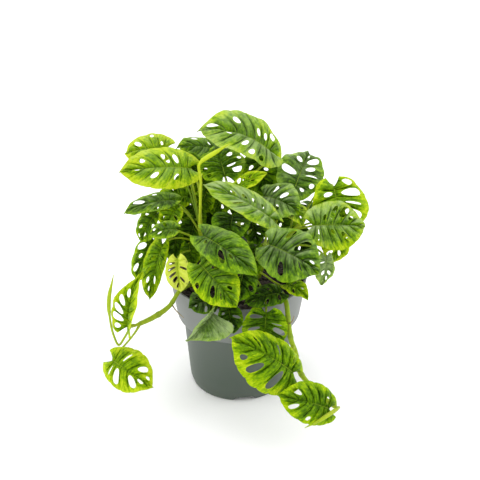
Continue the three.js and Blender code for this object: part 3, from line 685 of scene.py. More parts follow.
skin_of_shoots = shoot_skin()
stem_paths = {}
leafy_shoots = {}
for name, stem in STEMS.items():
    stem_paths[name] = spline(np.array(stem["points"]) * MM, STEM_STEPS)
    path = evenly(stem_paths[name], int(run(stem_paths[name]) / RING_PITCH))
    skins = [shoot(path, stem.get("radius", STEM_RADIUS), stem.get("sheath"))]
    if "root" in stem:
        skins.append(aerial_root(stem["root"]))
    if name in LEAFY_SHOOTS:
        leafy_shoots[name] = skins
        continue
    piece = add_piece(name + "_shoot", skins, crease=60)
    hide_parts(name)

# --- Leaves ---------------------------------------------------------------------------------------
# Each leaf is a thin, firm blade in one piece with its stalk. The blade is heart-shaped, creased along
# the midrib, quilted between sunken side veins, and pierced between them by oval holes and slits.
PETIOLE_RADIUS = 1.25 * MM
STALK_SIDES = 8
STALK_PITCH = 1.8 * MM
PETIOLE_STEPS = 60
RIB_STEPS = 30
BLADE_ABOVE = 0.25 * MM
BLADE_BELOW = 0.3 * MM
SINUS = 0.07
# the painted sheen, a painted reflection of the lamps on level parts, of a leaf that gives none of its own
USUAL_PAINTED_SHEEN = 0.03
LOBE_REACH = 0.18
COLUMN_SPREAD = 0.8
RIB_SPREAD = 1.5
CELL_COLUMNS = 8
SIDE_ROWS = 16
ROW_CROWDING = 1.25
UV_STRIDE = 16
# A hole in a cell: its middle and its half length between midrib (0) and margin (1), and its half
# width where the cell's own is 1.
HOLES = {
    ".": None,
    "s": (0.28, 0.12, 0.45),
    "m": (0.50, 0.15, 0.50),
    "e": (0.76, 0.12, 0.50),
    "E": (0.77, 0.17, 0.75),
    "I": (0.37, 0.22, 0.56),
    "L": (0.50, 0.28, 0.62),
    "O": (0.64, 0.24, 0.64),
    "i": (0.48, 0.26, 0.22),
    "X": (0.53, 0.34, 0.80),
    "W": (0.66, 0.28, 0.86),
}
# stem, at: the shoot that a leaf grows on, and where along it; base, tip: where its blade starts and
# ends, in mm; face: the way that its upper side looks; width: in mm
# arch, fold, droop: how far it rises along its length, stands up in a V, and bends down at the margins
# sides, taper: the left and the right half's own width, and how much of that is gone at the tip
# sinus: how wide the notch between the lobes stands open, 0 where they meet
# rise, bow: how steeply the stalk leaves the stem, and how far it bows out, in mm
# youth_and_light, painted_sheen, pale: how young and bright, set low also for a leaf in shade as painted
# shade; how thick the painted sheen, a painted reflection of the lamps, on level parts; and painted light on
# each half
# holes: a letter of HOLES for each cell from base to tip, on the left half and on the right
BROAD = dict(arch=0.12, fold=0.15, droop=0.3, youth_and_light=0.45)
SMALL = dict(arch=0.1, fold=0.2, droop=0.2, youth_and_light=0.2)
LEAVES = {
    "leaf_crown": dict(
        BROAD, stem="stem_crown", at=0.97, base=(40, 42, 298), tip=(-49, 35, 332), face=(0.15, -0.45, 0.88),
        width=81, arch=0.2, fold=0.1, sides=(0.67, 1), sinus=0.004, youth_and_light=0.8, painted_sheen=0.4, pale=(0.35, 0),
        holes=("..eem.s..", ".Oss.m.O."),
    ),
    "leaf_crown_left": dict(
        BROAD, stem="stem_crown", at=0.85, base=(-25, 100, 268), tip=(-76, 74, 287), face=(0, -0.35, 0.93),
        width=42, arch=0.1, fold=0.1, youth_and_light=0.55, painted_sheen=0.25, holes=("..s....", "..sE..."),
    ),
    "leaf_crown_under": dict(
        BROAD, stem="stem_crown", at=0.8, base=(-16, 20, 278), tip=(-28, 80, 284), face=(0, -0.55, 0.83),
        width=58, arch=0.08, fold=0.2, youth_and_light=0.55, holes=(".ee.....", ".WIem..."),
    ),
    "leaf_crown_small": dict(
        SMALL, stem="stem_crown", at=0.75, base=(-3, -9, 279.5), tip=(34, 3, 292.5),
        face=(-0.3, -0.55, 0.78), width=20, arch=0.08, youth_and_light=1.1, holes=(".XsI..", "...I.."),
    ),
    "leaf_upper_left_back": dict(
        BROAD, stem="stem_left", at=0.95, base=(-87, 65, 292), tip=(-140, 75, 278), face=(-0.1, -0.6, 0.8),
        width=42, youth_and_light=1.25, painted_sheen=0.3, holes=(".W.W...", ".se.L.."),
    ),
    "leaf_upper_left": dict(
        SMALL, stem="stem_left", at=0.86, base=(-58, 10, 295), tip=(-142, -5, 298),
        face=(-0.05, -0.62, 0.78), width=54, fold=0.12, droop=0.25, rise=0.4, youth_and_light=1.1, painted_sheen=0.3,
        holes=("..m.m.s.", "..II.O.."),
    ),
    "leaf_upper_right": dict(
        BROAD, stem="stem_right", at=0.8, base=(68, 22, 260), tip=(87, 97, 267), face=(0.15, -0.45, 0.88),
        width=57, droop=0.35, bow=(8, 6, 0), painted_sheen=0.35, holes=("..X.I..", "meiIXs."),
    ),
    "leaf_right_heart": dict(
        SMALL, stem="stem_right", at=0.98, base=(115, 21, 263), tip=(124, -10, 206),
        face=(0.25, -0.85, 0.45), width=82, fold=0.1, droop=0.35, bow=(0, 10, 0), sides=(1, 0.75),
        sinus=0.04, youth_and_light=0.9, holes=("EXiX..", ".I.I.."),
    ),
    "leaf_right_low": dict(
        BROAD, stem="stem_right", at=0.7, base=(89, -22, 234), tip=(153, -7, 223), face=(0.1, -0.72, 0.69),
        width=60, youth_and_light=0.8, painted_sheen=0.9, holes=("..sLWm..", ".i.sO..."),
    ),
    "leaf_right_under": dict(
        BROAD, stem="stem_right", at=0.85, base=(127, 22, 199), tip=(111, 5, 162), face=(0.5, -0.75, 0.45),
        width=42, arch=0.1, droop=0.25, sides=(0.8, 1), youth_and_light=1, holes=(".I..I..", "...mO.."),
    ),
    "leaf_middle_long": dict(
        BROAD, stem="stem_middle", at=0.95, base=(40, -35, 251), tip=(-42, -28, 294), face=(0, -0.35, 0.93),
        width=40, arch=0.08, droop=0.2, bow=(0, 12, 0), youth_and_light=0.75, painted_sheen=1, holes=("....i...", "..ssss.."),
    ),
    "leaf_middle_folded": dict(
        BROAD, stem="stem_crown", at=0.5, base=(-7, -18, 245), tip=(-12, -68, 234), face=(0, -0.35, 0.93),
        width=46, fold=0.3, droop=0.1, youth_and_light=0.25, holes=("...X...", "..i...."),
    ),
    "leaf_middle_left": dict(
        BROAD, stem="stem_front", at=0.95, base=(-42, -63, 245), tip=(22, -103, 216),
        face=(0.1, -0.65, 0.75), width=46, droop=0.25, painted_sheen=0.25, holes=(".......", ".s.Ls.."),
    ),
    "leaf_front_left": dict(
        BROAD, stem="stem_front", at=0.85, base=(-45, -80, 216), tip=(-2, -112, 177), face=(0, -0.7, 0.7),
        width=52, droop=0.25, youth_and_light=0.75, painted_sheen=0.15, holes=(".mL..m..", "..e.Li.."),
    ),
    "leaf_front_dark": dict(
        SMALL, stem="stem_front", at=0.75, base=(7, -75, 210), tip=(-7, -95, 171), face=(0.45, -0.75, 0.45),
        width=44, fold=0.15, holes=(".L.O.m.", "..I.m.."),
    ),
    "leaf_middle_right": dict(
        SMALL, stem="stem_middle", at=0.9, base=(36, -68, 236), tip=(95, -93, 213), face=(0.1, -0.62, 0.78),
        width=68, droop=0.3, youth_and_light=0.35, painted_sheen=0.55, holes=("..O.X.m.", "...O.i.."),
    ),
    "leaf_right_inner": dict(
        BROAD, stem="stem_right", at=0.75, base=(30, 10, 256), tip=(74, -15, 247), face=(0.1, -0.55, 0.83),
        width=52, arch=0.15, fold=0.2, droop=0.25, painted_sheen=0.7, holes=("..L.I...", "..e.m..."),
    ),
    "leaf_right_crumpled": dict(
        BROAD, stem="stem_right", at=0.45, base=(62, 3, 246), tip=(77, -20, 232), face=(0.3, -0.6, 0.7),
        width=26, arch=0.15, fold=0.3, droop=0.1, youth_and_light=0.9, painted_sheen=0.3, holes=("..L.s.", ".m.I.."),
    ),
    "leaf_right_olive": dict(
        SMALL, stem="stem_right", at=0.5, base=(105, -34, 197), tip=(100, -44, 163), face=(0.6, -0.7, 0.3),
        width=30, fold=0.1, youth_and_light=0.65, pale=(0.5, 0.5), holes=("...II.", ".i.II."),
    ),
    "leaf_front_right": dict(
        SMALL, stem="stem_middle", at=0.5, base=(57, -60, 174), tip=(83, -81, 167), face=(0.1, -0.3, 0.93),
        width=34, arch=0.15, sides=(0.75, 0.65), youth_and_light=0.8, holes=("..I.m..", ".L.O.m."),
    ),
    "leaf_rim_dark": dict(
        BROAD, stem="vine_right", at=0.24, base=(51, -70, 169), tip=(7, -88, 165), face=(0, -0.3, 0.95),
        width=34, arch=0.08, droop=0.2, rise=1, youth_and_light=0.1, holes=(".L.O.m.", "..I.m.."),
    ),
    "leaf_middle_hanging": dict(
        SMALL, stem="stem_middle", at=0.55, base=(20, -40, 215), tip=(15, -62, 180),
        face=(-0.35, -0.8, 0.5), width=28, arch=0.12, youth_and_light=0.3, holes=("..L.s.", ".m.I.."),
    ),
    "leaf_yellow": dict(
        BROAD, stem="stem_left", at=0.6, base=(-73, -48, 203), tip=(-69, -66, 168),
        face=(-0.15, -0.85, 0.5), width=30, arch=0.08, fold=0.45, droop=0.15, youth_and_light=0.5,
        holes=("..i.i..", ".iiiIi."),
    ),
    "leaf_left_hanging": dict(
        BROAD, stem="stem_left", at=0.7, base=(-91, -30, 212), tip=(-108, -44, 142), face=(-0.3, -0.8, 0.5),
        width=34, arch=0.08, droop=0.2, sides=(0.65, 1), youth_and_light=0.8, painted_sheen=0.2, holes=("s...I..", "..Immm."),
    ),
    "leaf_left_outer": dict(
        SMALL, stem="stem_left", at=0.83, base=(-104, 0, 200), tip=(-125, -12, 147),
        face=(-0.55, -0.75, 0.35), width=32, youth_and_light=0.65, holes=(".....", ".XsLe"),
    ),
    "leaf_left_dark": dict(
        SMALL, stem="stem_left", at=0.8, base=(-80, 8, 252), tip=(-139, 8, 233), face=(-0.1, -0.4, 0.9),
        width=27, youth_and_light=0.5, painted_sheen=0.4, holes=("..em...", "..e.X.."),
    ),
    "leaf_left_middle": dict(
        SMALL, stem="stem_left", at=0.74, base=(-99, 5, 235), tip=(-118, -8, 201), face=(-0.6, -0.65, 0.45),
        width=34, arch=0.12, youth_and_light=0.6, holes=(".eO.L.", ".m.me."),
    ),
    "leaf_left_edge": dict(
        BROAD, stem="stem_left", at=0.9, base=(-75, 0, 245), tip=(-88, -15, 223), face=(-0.4, -0.7, 0.55),
        width=30, fold=0.3, droop=0.1, youth_and_light=0.8, holes=("e.L.s.", ".m.O.."),
    ),
    "leaf_left_level": dict(
        SMALL, stem="stem_left", at=0.65, base=(-75, -34, 236), tip=(-107, -26, 224),
        face=(-0.1, -0.4, 0.9), width=26, youth_and_light=0.6, painted_sheen=0.2, holes=(".m.I..", "..L.L."),
    ),
    "leaf_vine_left_upper": dict(
        BROAD, stem="vine_left", at=0.97, base=(-133, -79, 126), tip=(-114, -66, 197),
        face=(-1, -0.85, 0.5), width=40, arch=0.08, fold=0.6, droop=0.1, sides=(1.35, 1), taper=(0.75, 0),
        youth_and_light=1.05, holes=("OXXLI..", "......."),
    ),
    "leaf_vine_left_heart": dict(
        BROAD, stem="vine_left", at=0.93, base=(-153, -85, 81), tip=(-103, -118, 65), face=(0, -0.8, 0.6),
        width=54, fold=0.1, rise=-0.5, sides=(1, 0.94), youth_and_light=1.1, holes=("..i.Oe.", ".iX.XI."),
    ),
    "leaf_vine_right_bright": dict(
        SMALL, stem="vine_right", at=0.62, base=(65, -134, 98), tip=(-10, -138, 151),
        face=(-0.05, -0.55, 0.83), width=70, fold=0.12, droop=0.45, sides=(1.1, 0.82), youth_and_light=0.8,
        holes=("..X.Oe..", ".i.i.i.."),
    ),
    "leaf_vine_right_end": dict(
        BROAD, stem="vine_right", at=0.96, base=(108, -150, 57), tip=(46, -162, 85),
        face=(0.1, -0.72, 0.69), width=51, fold=0.12, droop=0.2, rise=0.2, youth_and_light=0.7,
        holes=("...e.O..", ".I...O.."),
    ),
    "leaf_front_folded": dict(
        BROAD, stem="stem_front", at=0.5, base=(-30, -98, 159), tip=(-62, -124, 136),
        face=(0.46, -0.84, 0.3), width=31, arch=0.05, fold=1.2, droop=0.1, sides=(1.9, 0.95),
        taper=(0.85, 0.2), sinus=0.16, youth_and_light=0.6, pale=(0.8, 1.5), holes=(".......", "...i..."),
    ),
    "leaf_rim_left": dict(
        BROAD, stem="stem_front", at=0.4, base=(-32, -72, 159), tip=(-59, -88, 159),
        face=(-0.2, -0.55, 0.8), width=36, arch=0.15, droop=0.2, youth_and_light=0.1, painted_sheen=0.15,
        holes=(".L.O.m.", "..I.m.."),
    ),
    "leaf_rim_front": dict(
        SMALL, stem="stem_front", at=0.45, base=(-12, -89, 160), tip=(-6, -99, 130), face=(0, -0.9, 0.4),
        width=30, fold=0.15, youth_and_light=0.15, holes=("..L.s.", ".m.I.."),
    ),
    "leaf_rim_green": dict(
        BROAD, stem="stem_middle", at=0.42, base=(33, -93, 156), tip=(29, -99, 105), face=(0, -0.9, 0.4),
        width=54, arch=0.1, droop=0.25, youth_and_light=0.5, holes=("..iW....", ".X.L...."),
    ),
    "leaf_back_high": dict(
        BROAD, stem="stem_back", at=0.98, base=(20, 85, 240), tip=(30, 130, 205), face=(0.1, 0.6, 0.8),
        width=54, holes=("..L.I.s.", ".L.m.L.."),
    ),
    "leaf_back_left_high": dict(
        BROAD, stem="stem_back", at=0.9, base=(-35, 85, 235), tip=(-75, 125, 210), face=(-0.3, 0.4, 0.85),
        width=52, holes=(".L.m.L..", "..L.I.s."),
    ),
    "leaf_back_left": dict(
        BROAD, stem="stem_back", at=0.75, base=(-80, 55, 215), tip=(-125, 90, 190), face=(-0.4, 0.3, 0.85),
        width=50, holes=("..L.I.s.", ".L.m.L.."),
    ),
    "leaf_back_middle": dict(
        BROAD, stem="stem_back", at=0.85, base=(-10, 95, 205), tip=(-15, 140, 170), face=(0, 0.7, 0.7),
        width=56, holes=(".L.m.L..", "..L.I.s."),
    ),
    "leaf_back_right": dict(
        BROAD, stem="stem_back", at=0.8, base=(80, 60, 205), tip=(120, 95, 180), face=(0.4, 0.4, 0.8),
        width=52, holes=("..L.I.s.", ".L.m.L.."),
    ),
    "leaf_back_low_left": dict(
        BROAD, stem="stem_back", at=0.5, base=(-50, 85, 170), tip=(-85, 115, 135), face=(-0.4, 0.6, 0.7),
        width=48, holes=(".L.O.m.", "..I.m.."),
    ),
    "leaf_back_low_middle": dict(
        BROAD, stem="stem_back", at=0.4, base=(15, 95, 160), tip=(20, 125, 115), face=(0, 0.8, 0.55),
        width=50, holes=("..L.I.s.", ".L.m.L.."),
    ),
    "leaf_back_low_right": dict(
        BROAD, stem="stem_back", at=0.45, base=(65, 75, 165), tip=(100, 105, 135), face=(0.4, 0.6, 0.7),
        width=48, holes=(".L.O.m.", "..I.m.."),
    ),
    "leaf_inner_left_level": dict(
        SMALL, stem="shoot_inner_left", at=0.98, base=(-62, 30, 244), tip=(-102, 28, 238),
        face=(-0.1, -0.5, 0.85), width=34, youth_and_light=0.7, holes=(".I.m..", "..L.s."),
    ),
    "leaf_inner_left_outer": dict(
        SMALL, stem="shoot_inner_left", at=0.9, base=(-73, 30, 224), tip=(-83, 18, 191),
        face=(-0.3, -0.8, 0.5), width=30, youth_and_light=0.4, holes=("..L.s.", ".m.I.."),
    ),
    "leaf_inner_left_high": dict(
        SMALL, stem="shoot_inner_left", at=0.85, base=(-57, 25, 234), tip=(-49, 13, 203),
        face=(0.1, -0.85, 0.5), width=28, youth_and_light=0.3, holes=(".m.I..", "..L.s."),
    ),
    "leaf_inner_left_low": dict(
        SMALL, stem="shoot_inner_left", at=0.7, base=(-76, 12, 205), tip=(-62, 0, 180),
        face=(-0.1, -0.85, 0.5), width=28, youth_and_light=0.3, holes=("..L.s.", ".m.I.."),
    ),
    "leaf_inner_left_front": dict(
        SMALL, stem="shoot_inner_left", at=0.6, base=(-50, 16, 212), tip=(-40, 6, 186),
        face=(0.1, -0.85, 0.5), width=26, youth_and_light=0.15, holes=(".m.I..", "..L.s."),
    ),
    "leaf_inner_right_outer": dict(
        SMALL, stem="shoot_inner_right", at=0.98, base=(-40, 34, 246), tip=(-47, 24, 222),
        face=(-0.1, -0.8, 0.6), width=28, youth_and_light=0.55, holes=("..L.s.", ".m.I.."),
    ),
    "leaf_inner_right_high": dict(
        SMALL, stem="shoot_inner_right", at=0.9, base=(-20, 40, 244), tip=(-30, 26, 218),
        face=(0, -0.8, 0.6), width=32, youth_and_light=0.5, holes=(".m.I..", "..L.s."),
    ),
    "leaf_inner_right_back": dict(
        SMALL, stem="shoot_inner_right", at=0.85, base=(-3, 44, 230), tip=(14, 32, 212),
        face=(0.1, -0.8, 0.6), width=30, youth_and_light=0.1, holes=("..L.s.", ".m.I.."),
    ),
    "leaf_inner_right_low": dict(
        SMALL, stem="shoot_inner_right", at=0.7, base=(16, 30, 207), tip=(24, 16, 183),
        face=(0.2, -0.8, 0.55), width=28, youth_and_light=0.15, holes=(".m.I..", "..L.s."),
    ),
}
LEAF_DEEP = (0.003, 0.013, 0.0003, 1)
LEAF_MID = (0.046, 0.122, 0.001, 1)
LEAF_FRESH = (0.165, 0.325, 0.001, 1)
LEAF_BRIGHT = (0.350, 0.520, 0.001, 1)
LEAF_PALE = (0.500, 0.630, 0.015, 1)
LEAF_RIB = (0.170, 0.290, 0.010, 1)
# the whitish colour of the painted sheen, a painted reflection of the lamps
LEAF_PAINTED_SHEEN = (0.410, 0.530, 0.240, 1)
LEAF_UNDER = (0.130, 0.230, 0.040, 1)
LEAF_GLOW = (0.12, (0.30, 0.52, 0.002, 1))
YELLOW_BLADE = (0.66, 0.76, 0.060, 1)
YELLOW_GREEN = (0.34, 0.50, 0.015, 1)
YELLOW_GLOW = (0.2, (0.75, 0.75, 0.12, 1))
SLIT_BROWN = (0.045, 0.02, 0.008, 1)
# three fine grooves run along each cell, a turn of 2 pi each
GROOVE_TURN = 18.85
STREAK_SCALE = 5.5


def unit(v):
    """The vector divided by its length."""
    return v / np.linalg.norm(v)


def leaf_axes(leaf):
    """Base, length, and the unit vectors along the blade, across it to the left, and out of its
    upper side, the last being the face made square to the first."""
    base = np.array(leaf["base"], float) * MM
    along = np.array(leaf["tip"], float) * MM - base
    length = np.linalg.norm(along)
    along = along / length
    face = np.array(leaf["face"], float)
    normal = unit(face - (face @ along) * along)
    return base, length, along, np.cross(normal, along), normal


def flat_leaf(c, t, sinus):
    """The flat outline at column c (0 base, 1 tip) and row t (-1 and 1 margins, 0 midrib), as shares
    of the length and of the half width. With turn = sinus pi + (1 - sinus) pi c^0.8 the margin is at
    u = 1.18 (0.5 - 0.5 cos turn) - 0.18 and v = 1.02 (sin turn)^(1.3 - 0.55 cos turn), the midrib at
    u = c^1.5, v = 0, and between them u goes by |t|^1.4 and v by |t|."""
    turn = np.pi * (sinus + (1 - sinus) * c**COLUMN_SPREAD)
    edge_u = (1 + LOBE_REACH) * (0.5 - 0.5 * np.cos(turn)) - LOBE_REACH
    edge_v = np.maximum(np.sin(turn), 0) ** (1.3 - 0.55 * np.cos(turn)) * 1.02
    rib_u = c**RIB_SPREAD
    return rib_u + (edge_u - rib_u) * abs(t) ** 1.4, edge_v * t


def leaf_surface(leaf, c, t, x=0.0, seed=0):
    """The blade in space. Over the flat leaf it rises by arch * L * 4 u (1 - u), by fold * |y| and by
    -droop * y^2 / half, with waves at the margin of 0.08 half t^2, 2.2 along the leaf, and of
    0.03 half |t|^3, 5.2 along it. The quilting lifts each cell by 0.11 half (1 - |x|^2.2)
    sin(pi |t|^0.8), and a channel 0.5 mm deep runs along the midrib. Each side's y is
    sides * v * half, less taper * u of it, and scalloped by 0.035 |x|^3 t^4."""
    base, length, along, side, normal = leaf_axes(leaf)
    half = leaf["width"] / 2 * MM
    u, v = flat_leaf(c, t, leaf.get("sinus", SINUS))
    y = v * half * np.where(t > 0, *leaf.get("sides", (1, 1)))
    y = y * (1 - u * np.where(t > 0, *leaf.get("taper", (0, 0))))
    y = y * (1 - 0.035 * abs(x) ** 3 * t**4)
    lift = leaf["arch"] * length * 4 * u * (1 - u) * np.where(u < 0, 0.5, 1)
    lift = lift + leaf["fold"] * abs(y) - leaf["droop"] * y**2 / half
    lift = lift + 0.08 * half * np.sin(2 * np.pi * (2.2 * c + 0.25 * np.sign(t))) * t**2
    lift = lift + 0.03 * half * np.sin(2 * np.pi * (5.2 * c + 0.37 * np.sign(t)) + seed) * abs(t) ** 3
    lift = lift + 0.11 * half * (1 - abs(x) ** 2.2) * np.sin(np.pi * abs(t) ** 0.8)
    lift = lift - 0.5 * MM * np.exp(-((y / (1.2 * MM)) ** 2))
    return base + (u * length)[..., None] * along + y[..., None] * side + lift[..., None] * normal


def blade(leaf, seed):
    """The blade's sheet as a grid: 8 columns to each cell and 16 rows to each side, the last column
    drawn together in the tip. Each hole is moved and resized by up to a tenth by chance, and stays
    0.06 from the midrib and 0.05 from the margin. Carried: uv, the place in cells, counted on from
    UV_STRIDE * seed, and across; marks, see leaf_skin. The painted sheen, a painted reflection of the
    lamps, is the leaf's own times upright^2, plus the painted light given to that half as pale."""
    cells = len(leaf["holes"][0])
    draw = np.random.default_rng(seed)
    kinds = [[HOLES[kind] or (0.5, 0, 0) for kind in side] for side in leaf["holes"]]
    kinds = np.array(kinds) * draw.uniform([0.96, 0.9, 0.9], [1.04, 1.1, 1.1], (2, cells, 3))
    kinds[..., 1] = np.minimum(kinds[..., 1], np.minimum(0.95 - kinds[..., 0], kinds[..., 0] - 0.06))
    lean = draw.uniform(-0.12, 0.12, (2, cells))
    columns, rows = np.arange(cells * CELL_COLUMNS + 1), np.arange(-SIDE_ROWS, SIDE_ROWS + 1)
    column, row = np.meshgrid(columns, rows, indexing="ij")
    cell = np.minimum(column // CELL_COLUMNS, cells - 1)
    a = (column - cell * CELL_COLUMNS) * 2 / CELL_COLUMNS - 1
    b = abs(row) * 2 / SIDE_ROWS - 1
    side = (row < 0).astype(int)
    middle, long, wide = np.moveaxis(kinds[side, cell], -1, 0)
    pierced = long > 0
    t = (abs(row) / SIDE_ROWS) ** ROW_CROWDING
    x_moved, t_moved, share = round_hole(a, b, a, t, (lean[side, cell], middle, wide, long))
    x = np.where(pierced, x_moved, a)
    t = np.where(pierced, t_moved, t) * np.sign(row)
    c = (cell + (x + 1) / 2) / cells
    points = leaf_surface(leaf, c, t, x, seed)
    upright = np.cross(np.gradient(points, axis=0), np.gradient(points, axis=1))
    upright = upright[..., 2] / np.maximum(np.linalg.norm(upright, axis=-1), 1e-12)
    # Painted sheen: a painted reflection of the lamps, thickest where the blade faces straight up; pale adds
    # painted light on one half.
    painted_sheen = leaf.get("painted_sheen", USUAL_PAINTED_SHEEN) * np.clip(upright, 0, 1) ** 2
    painted_sheen = painted_sheen + np.where(row > 0, *leaf.get("pale", (0, 0)))
    points = points.reshape(-1, 3)
    index = np.arange(points.shape[0]).reshape(column.shape)
    quads = np.stack([index[:-1, :-1], index[1:, :-1], index[1:, 1:], index[:-1, 1:]], -1)
    near_a = a[:-1, :-1] + 1 / CELL_COLUMNS
    near_b = (b[:-1, :-1] + b[:-1, 1:]) / 2
    face_side = (row[:, :-1] < 0).astype(int)[:-1]
    open_here = kinds[face_side, cell[:-1, :-1], 1] > 0
    hole = open_here & (abs(near_a) < HOLE_RING) & (abs(near_b) < HOLE_RING)
    body = quads[:-1][~hole[:-1]]
    tip = np.column_stack([index[-2, :-1], np.full(2 * SIDE_ROWS, index[-1, 0]), index[-2, 1:]])
    uv = np.stack([cell + (x + 1) / 2 + UV_STRIDE * seed, t], -1).reshape(-1, 2)
    rim = np.where(pierced, np.clip(1 - 2.2 * share, 0, 1), 0)
    marks = np.stack([leaf["youth_and_light"] + 0 * a, 0 * a, rim, painted_sheen], -1).reshape(-1, 4)
    points, faces, uv, marks = used_only(points, [body, tip], uv, marks)
    rib = np.exp(-((np.minimum(uv[:, 0] % 1, 1 - uv[:, 0] % 1) / 0.06) ** 2)) * (1 - abs(uv[:, 1]))
    below = (BLADE_BELOW + 0.25 * MM * rib)[:, None]
    points, faces = thicken(points, faces, BLADE_ABOVE, below)
    under = marks.copy()
    under[:, 1] = 1
    under[:, 3] = 0
    return points, faces, np.vstack([uv, uv]), np.vstack([marks, under])


def stalk(leaf):
    """One tube for the stalk and the rib under the blade. The stalk is a cubic from the stem, where
    it leaves rising, to the base, where it comes up from below, its handles 0.38 of the way between
    them long; the rib goes on under the midrib.
    Radius: 1.25 mm, almost twice that at the foot where a sheath clasps the stem, 1.2 times that in
    the joint under the blade, then down to 0.2 mm at the tip."""
    base, _, along, _, normal = leaf_axes(leaf)
    stem = stem_paths[leaf["stem"]]
    place = leaf["at"] * (len(stem) - 1)
    start = np.array([np.interp(place, np.arange(len(stem)), stem[:, k]) for k in range(3)])
    end = base + along * 1.5 * MM
    reach = np.linalg.norm(end - start) * 0.38
    leave = unit(0.6 * unit(end - start) + [0, 0, leaf.get("rise", 0.7)])
    arrive = unit(0.5 * along + 0.7 * normal)
    bow = np.array(leaf.get("bow", (0, 0, 0))) * MM
    one, two = start + leave * reach + bow, end - arrive * reach + bow
    s = np.linspace(0, 0.97, PETIOLE_STEPS)[:, None]
    petiole = (1 - s) ** 3 * start + 3 * (1 - s) ** 2 * s * one + 3 * (1 - s) * s**2 * two + s**3 * end
    c = np.linspace(0.1, 0.94, RIB_STEPS)
    rib = leaf_surface(leaf, c, 0 * c) - normal * (BLADE_BELOW + 0.5 * MM * (1 - c))[:, None]
    whole = np.vstack([petiole, rib])
    steps = int(run(whole) / STALK_PITCH)
    path = evenly(whole, steps)
    path[1:-1] = (path[:-2] + 2 * path[1:-1] + path[2:]) / 4
    far = np.arange(steps) * np.linalg.norm(np.diff(path, axis=0), axis=1).mean()
    joint = run(petiole)
    foot = 0.9 * np.exp(-far / (7 * MM))
    knee = 0.2 * np.exp(-(((far - joint + 3 * MM) / (3 * MM)) ** 2))
    radius = PETIOLE_RADIUS * (1 + foot + knee)
    taper = np.clip((far - joint) / (far[-1] - joint), 0, 1)
    radius = radius * (1 - taper) ** 0.8 * 0.82 + 0.18 * radius
    yellow = 0.1 + 0.5 * leaf["youth_and_light"] + 0 * far
    dry = 0.25 * np.exp(-far / (6 * MM))
    return shoot_tube(path, radius[:, None], STALK_SIDES, yellow, dry, 0 * far)


def read_flat(shade):
    """The place on the flat leaf: cells from base to tip, and across from -1 to 1."""
    flat = shade.node("ShaderNodeUVMap", {"uv_map": "surface"})
    flat = shade.node("ShaderNodeSeparateXYZ", None, {0: flat})
    return flat.part("X"), flat.part("Y")


def leaf_skin():
    """Leaf skin with a soft gloss. Marks: red, how young and bright, set low also where a leaf is painted
    dark for the shade it stands in; green, 1 on the under side; blue, how near a hole; alpha, how thick
    the painted sheen, a painted reflection of the lamps.
    Colour runs from deep green by the midrib to yellow-green at the margin, streaked along the side
    veins, with painted shade in their creases, a pale midrib and a whitish painted sheen on level parts."""
    material, shade, place = start_material("leaf")
    youth_and_light, under, rim, painted_sheen = read_marks(shade)
    cells, side = read_flat(shade)
    across = abs(side)
    cloud = shade.noise(place, 45, 3)
    fine = shade.noise(place, 320, 3)
    drawn = shade.node("ShaderNodeCombineXYZ", None, {0: cells * STREAK_SCALE, 1: side * STREAK_SCALE})
    streak = shade.noise(drawn, 0.55, 5, Roughness=0.62)
    thread = shade.noise(drawn, 1.7, 3)
    broad = shade.noise(drawn, 0.21, 1)
    from_vein = abs(shade.math("FRACT", cells + (cloud - 0.5) * 0.1) - 0.5) * 2
    vein = from_vein.ease(0.84, 1.0)
    groove = shade.math("COSINE", cells * GROOVE_TURN + cloud * 2).ease(0.3, 1.0)
    edge = (across + (broad - 0.5) * 0.4 + (streak - 0.5) * 0.5).ease(0.5, 1.0)
    beside_rib = across.ease(0.2, 0.02)
    # The tone mark sets how bright a leaf is: young leaves are brighter, and leaves that stand in shade are
    # set low, which is painted shade.
    tone = youth_and_light * 0.52 + edge * (0.22 + youth_and_light * 0.17) + rim * 0.2 + (streak - 0.5) * 0.8
    tone = tone + (broad - 0.5) * 0.5 + (thread - 0.5) * 0.75 + (fine - 0.5) * 0.4 + 0.07
    # Painted shade: darker beside the midrib and in the creases of the side veins and fine grooves, less so
    # at the margin and under the painted sheen.
    tone = tone - beside_rib * 0.08 - (vein * 0.2 + groove * 0.08) * (1.1 - edge - painted_sheen * 0.4)
    top = shade.node("ShaderNodeValToRGB", {"stops": [
        (0.0, LEAF_DEEP), (0.3, LEAF_MID), (0.6, LEAF_FRESH), (0.85, LEAF_BRIGHT), (1.0, LEAF_PALE),
    ]}, {0: tone})
    # Painted sheen: patches mixed toward a whitish green where the mark says, a painted reflection of the
    # lamps.
    top = (painted_sheen * (streak * 0.7 + cloud).ease(0.5, 1.15)).between(top, LEAF_PAINTED_SHEEN)
    top = (across.ease(0.03, 0.012) * 0.45).between(top, LEAF_RIB)
    under_green = (tone * 0.8).between(LEAF_UNDER, top)
    net = {"Vector": place, "Scale": 420}
    net = shade.node("ShaderNodeTexVoronoi", {"feature": "DISTANCE_TO_EDGE"}, net, "Distance").ease(0.0, 0.12)
    height = net * 0.2 - groove * 0.45 + fine * 0.3 + thread * 0.9 + streak * 0.8 - vein * 0.7
    return finish_material(material, shade, {
        "Base Color": (under * 0.65).between(top, under_green),
        "Roughness": 0.34 + fine * 0.12 + under * 0.2,
        "Specular IOR Level": 0.05,
        "Normal": shade.bump(height, 0.8, 1.2 * MM),
    }, LEAF_GLOW)


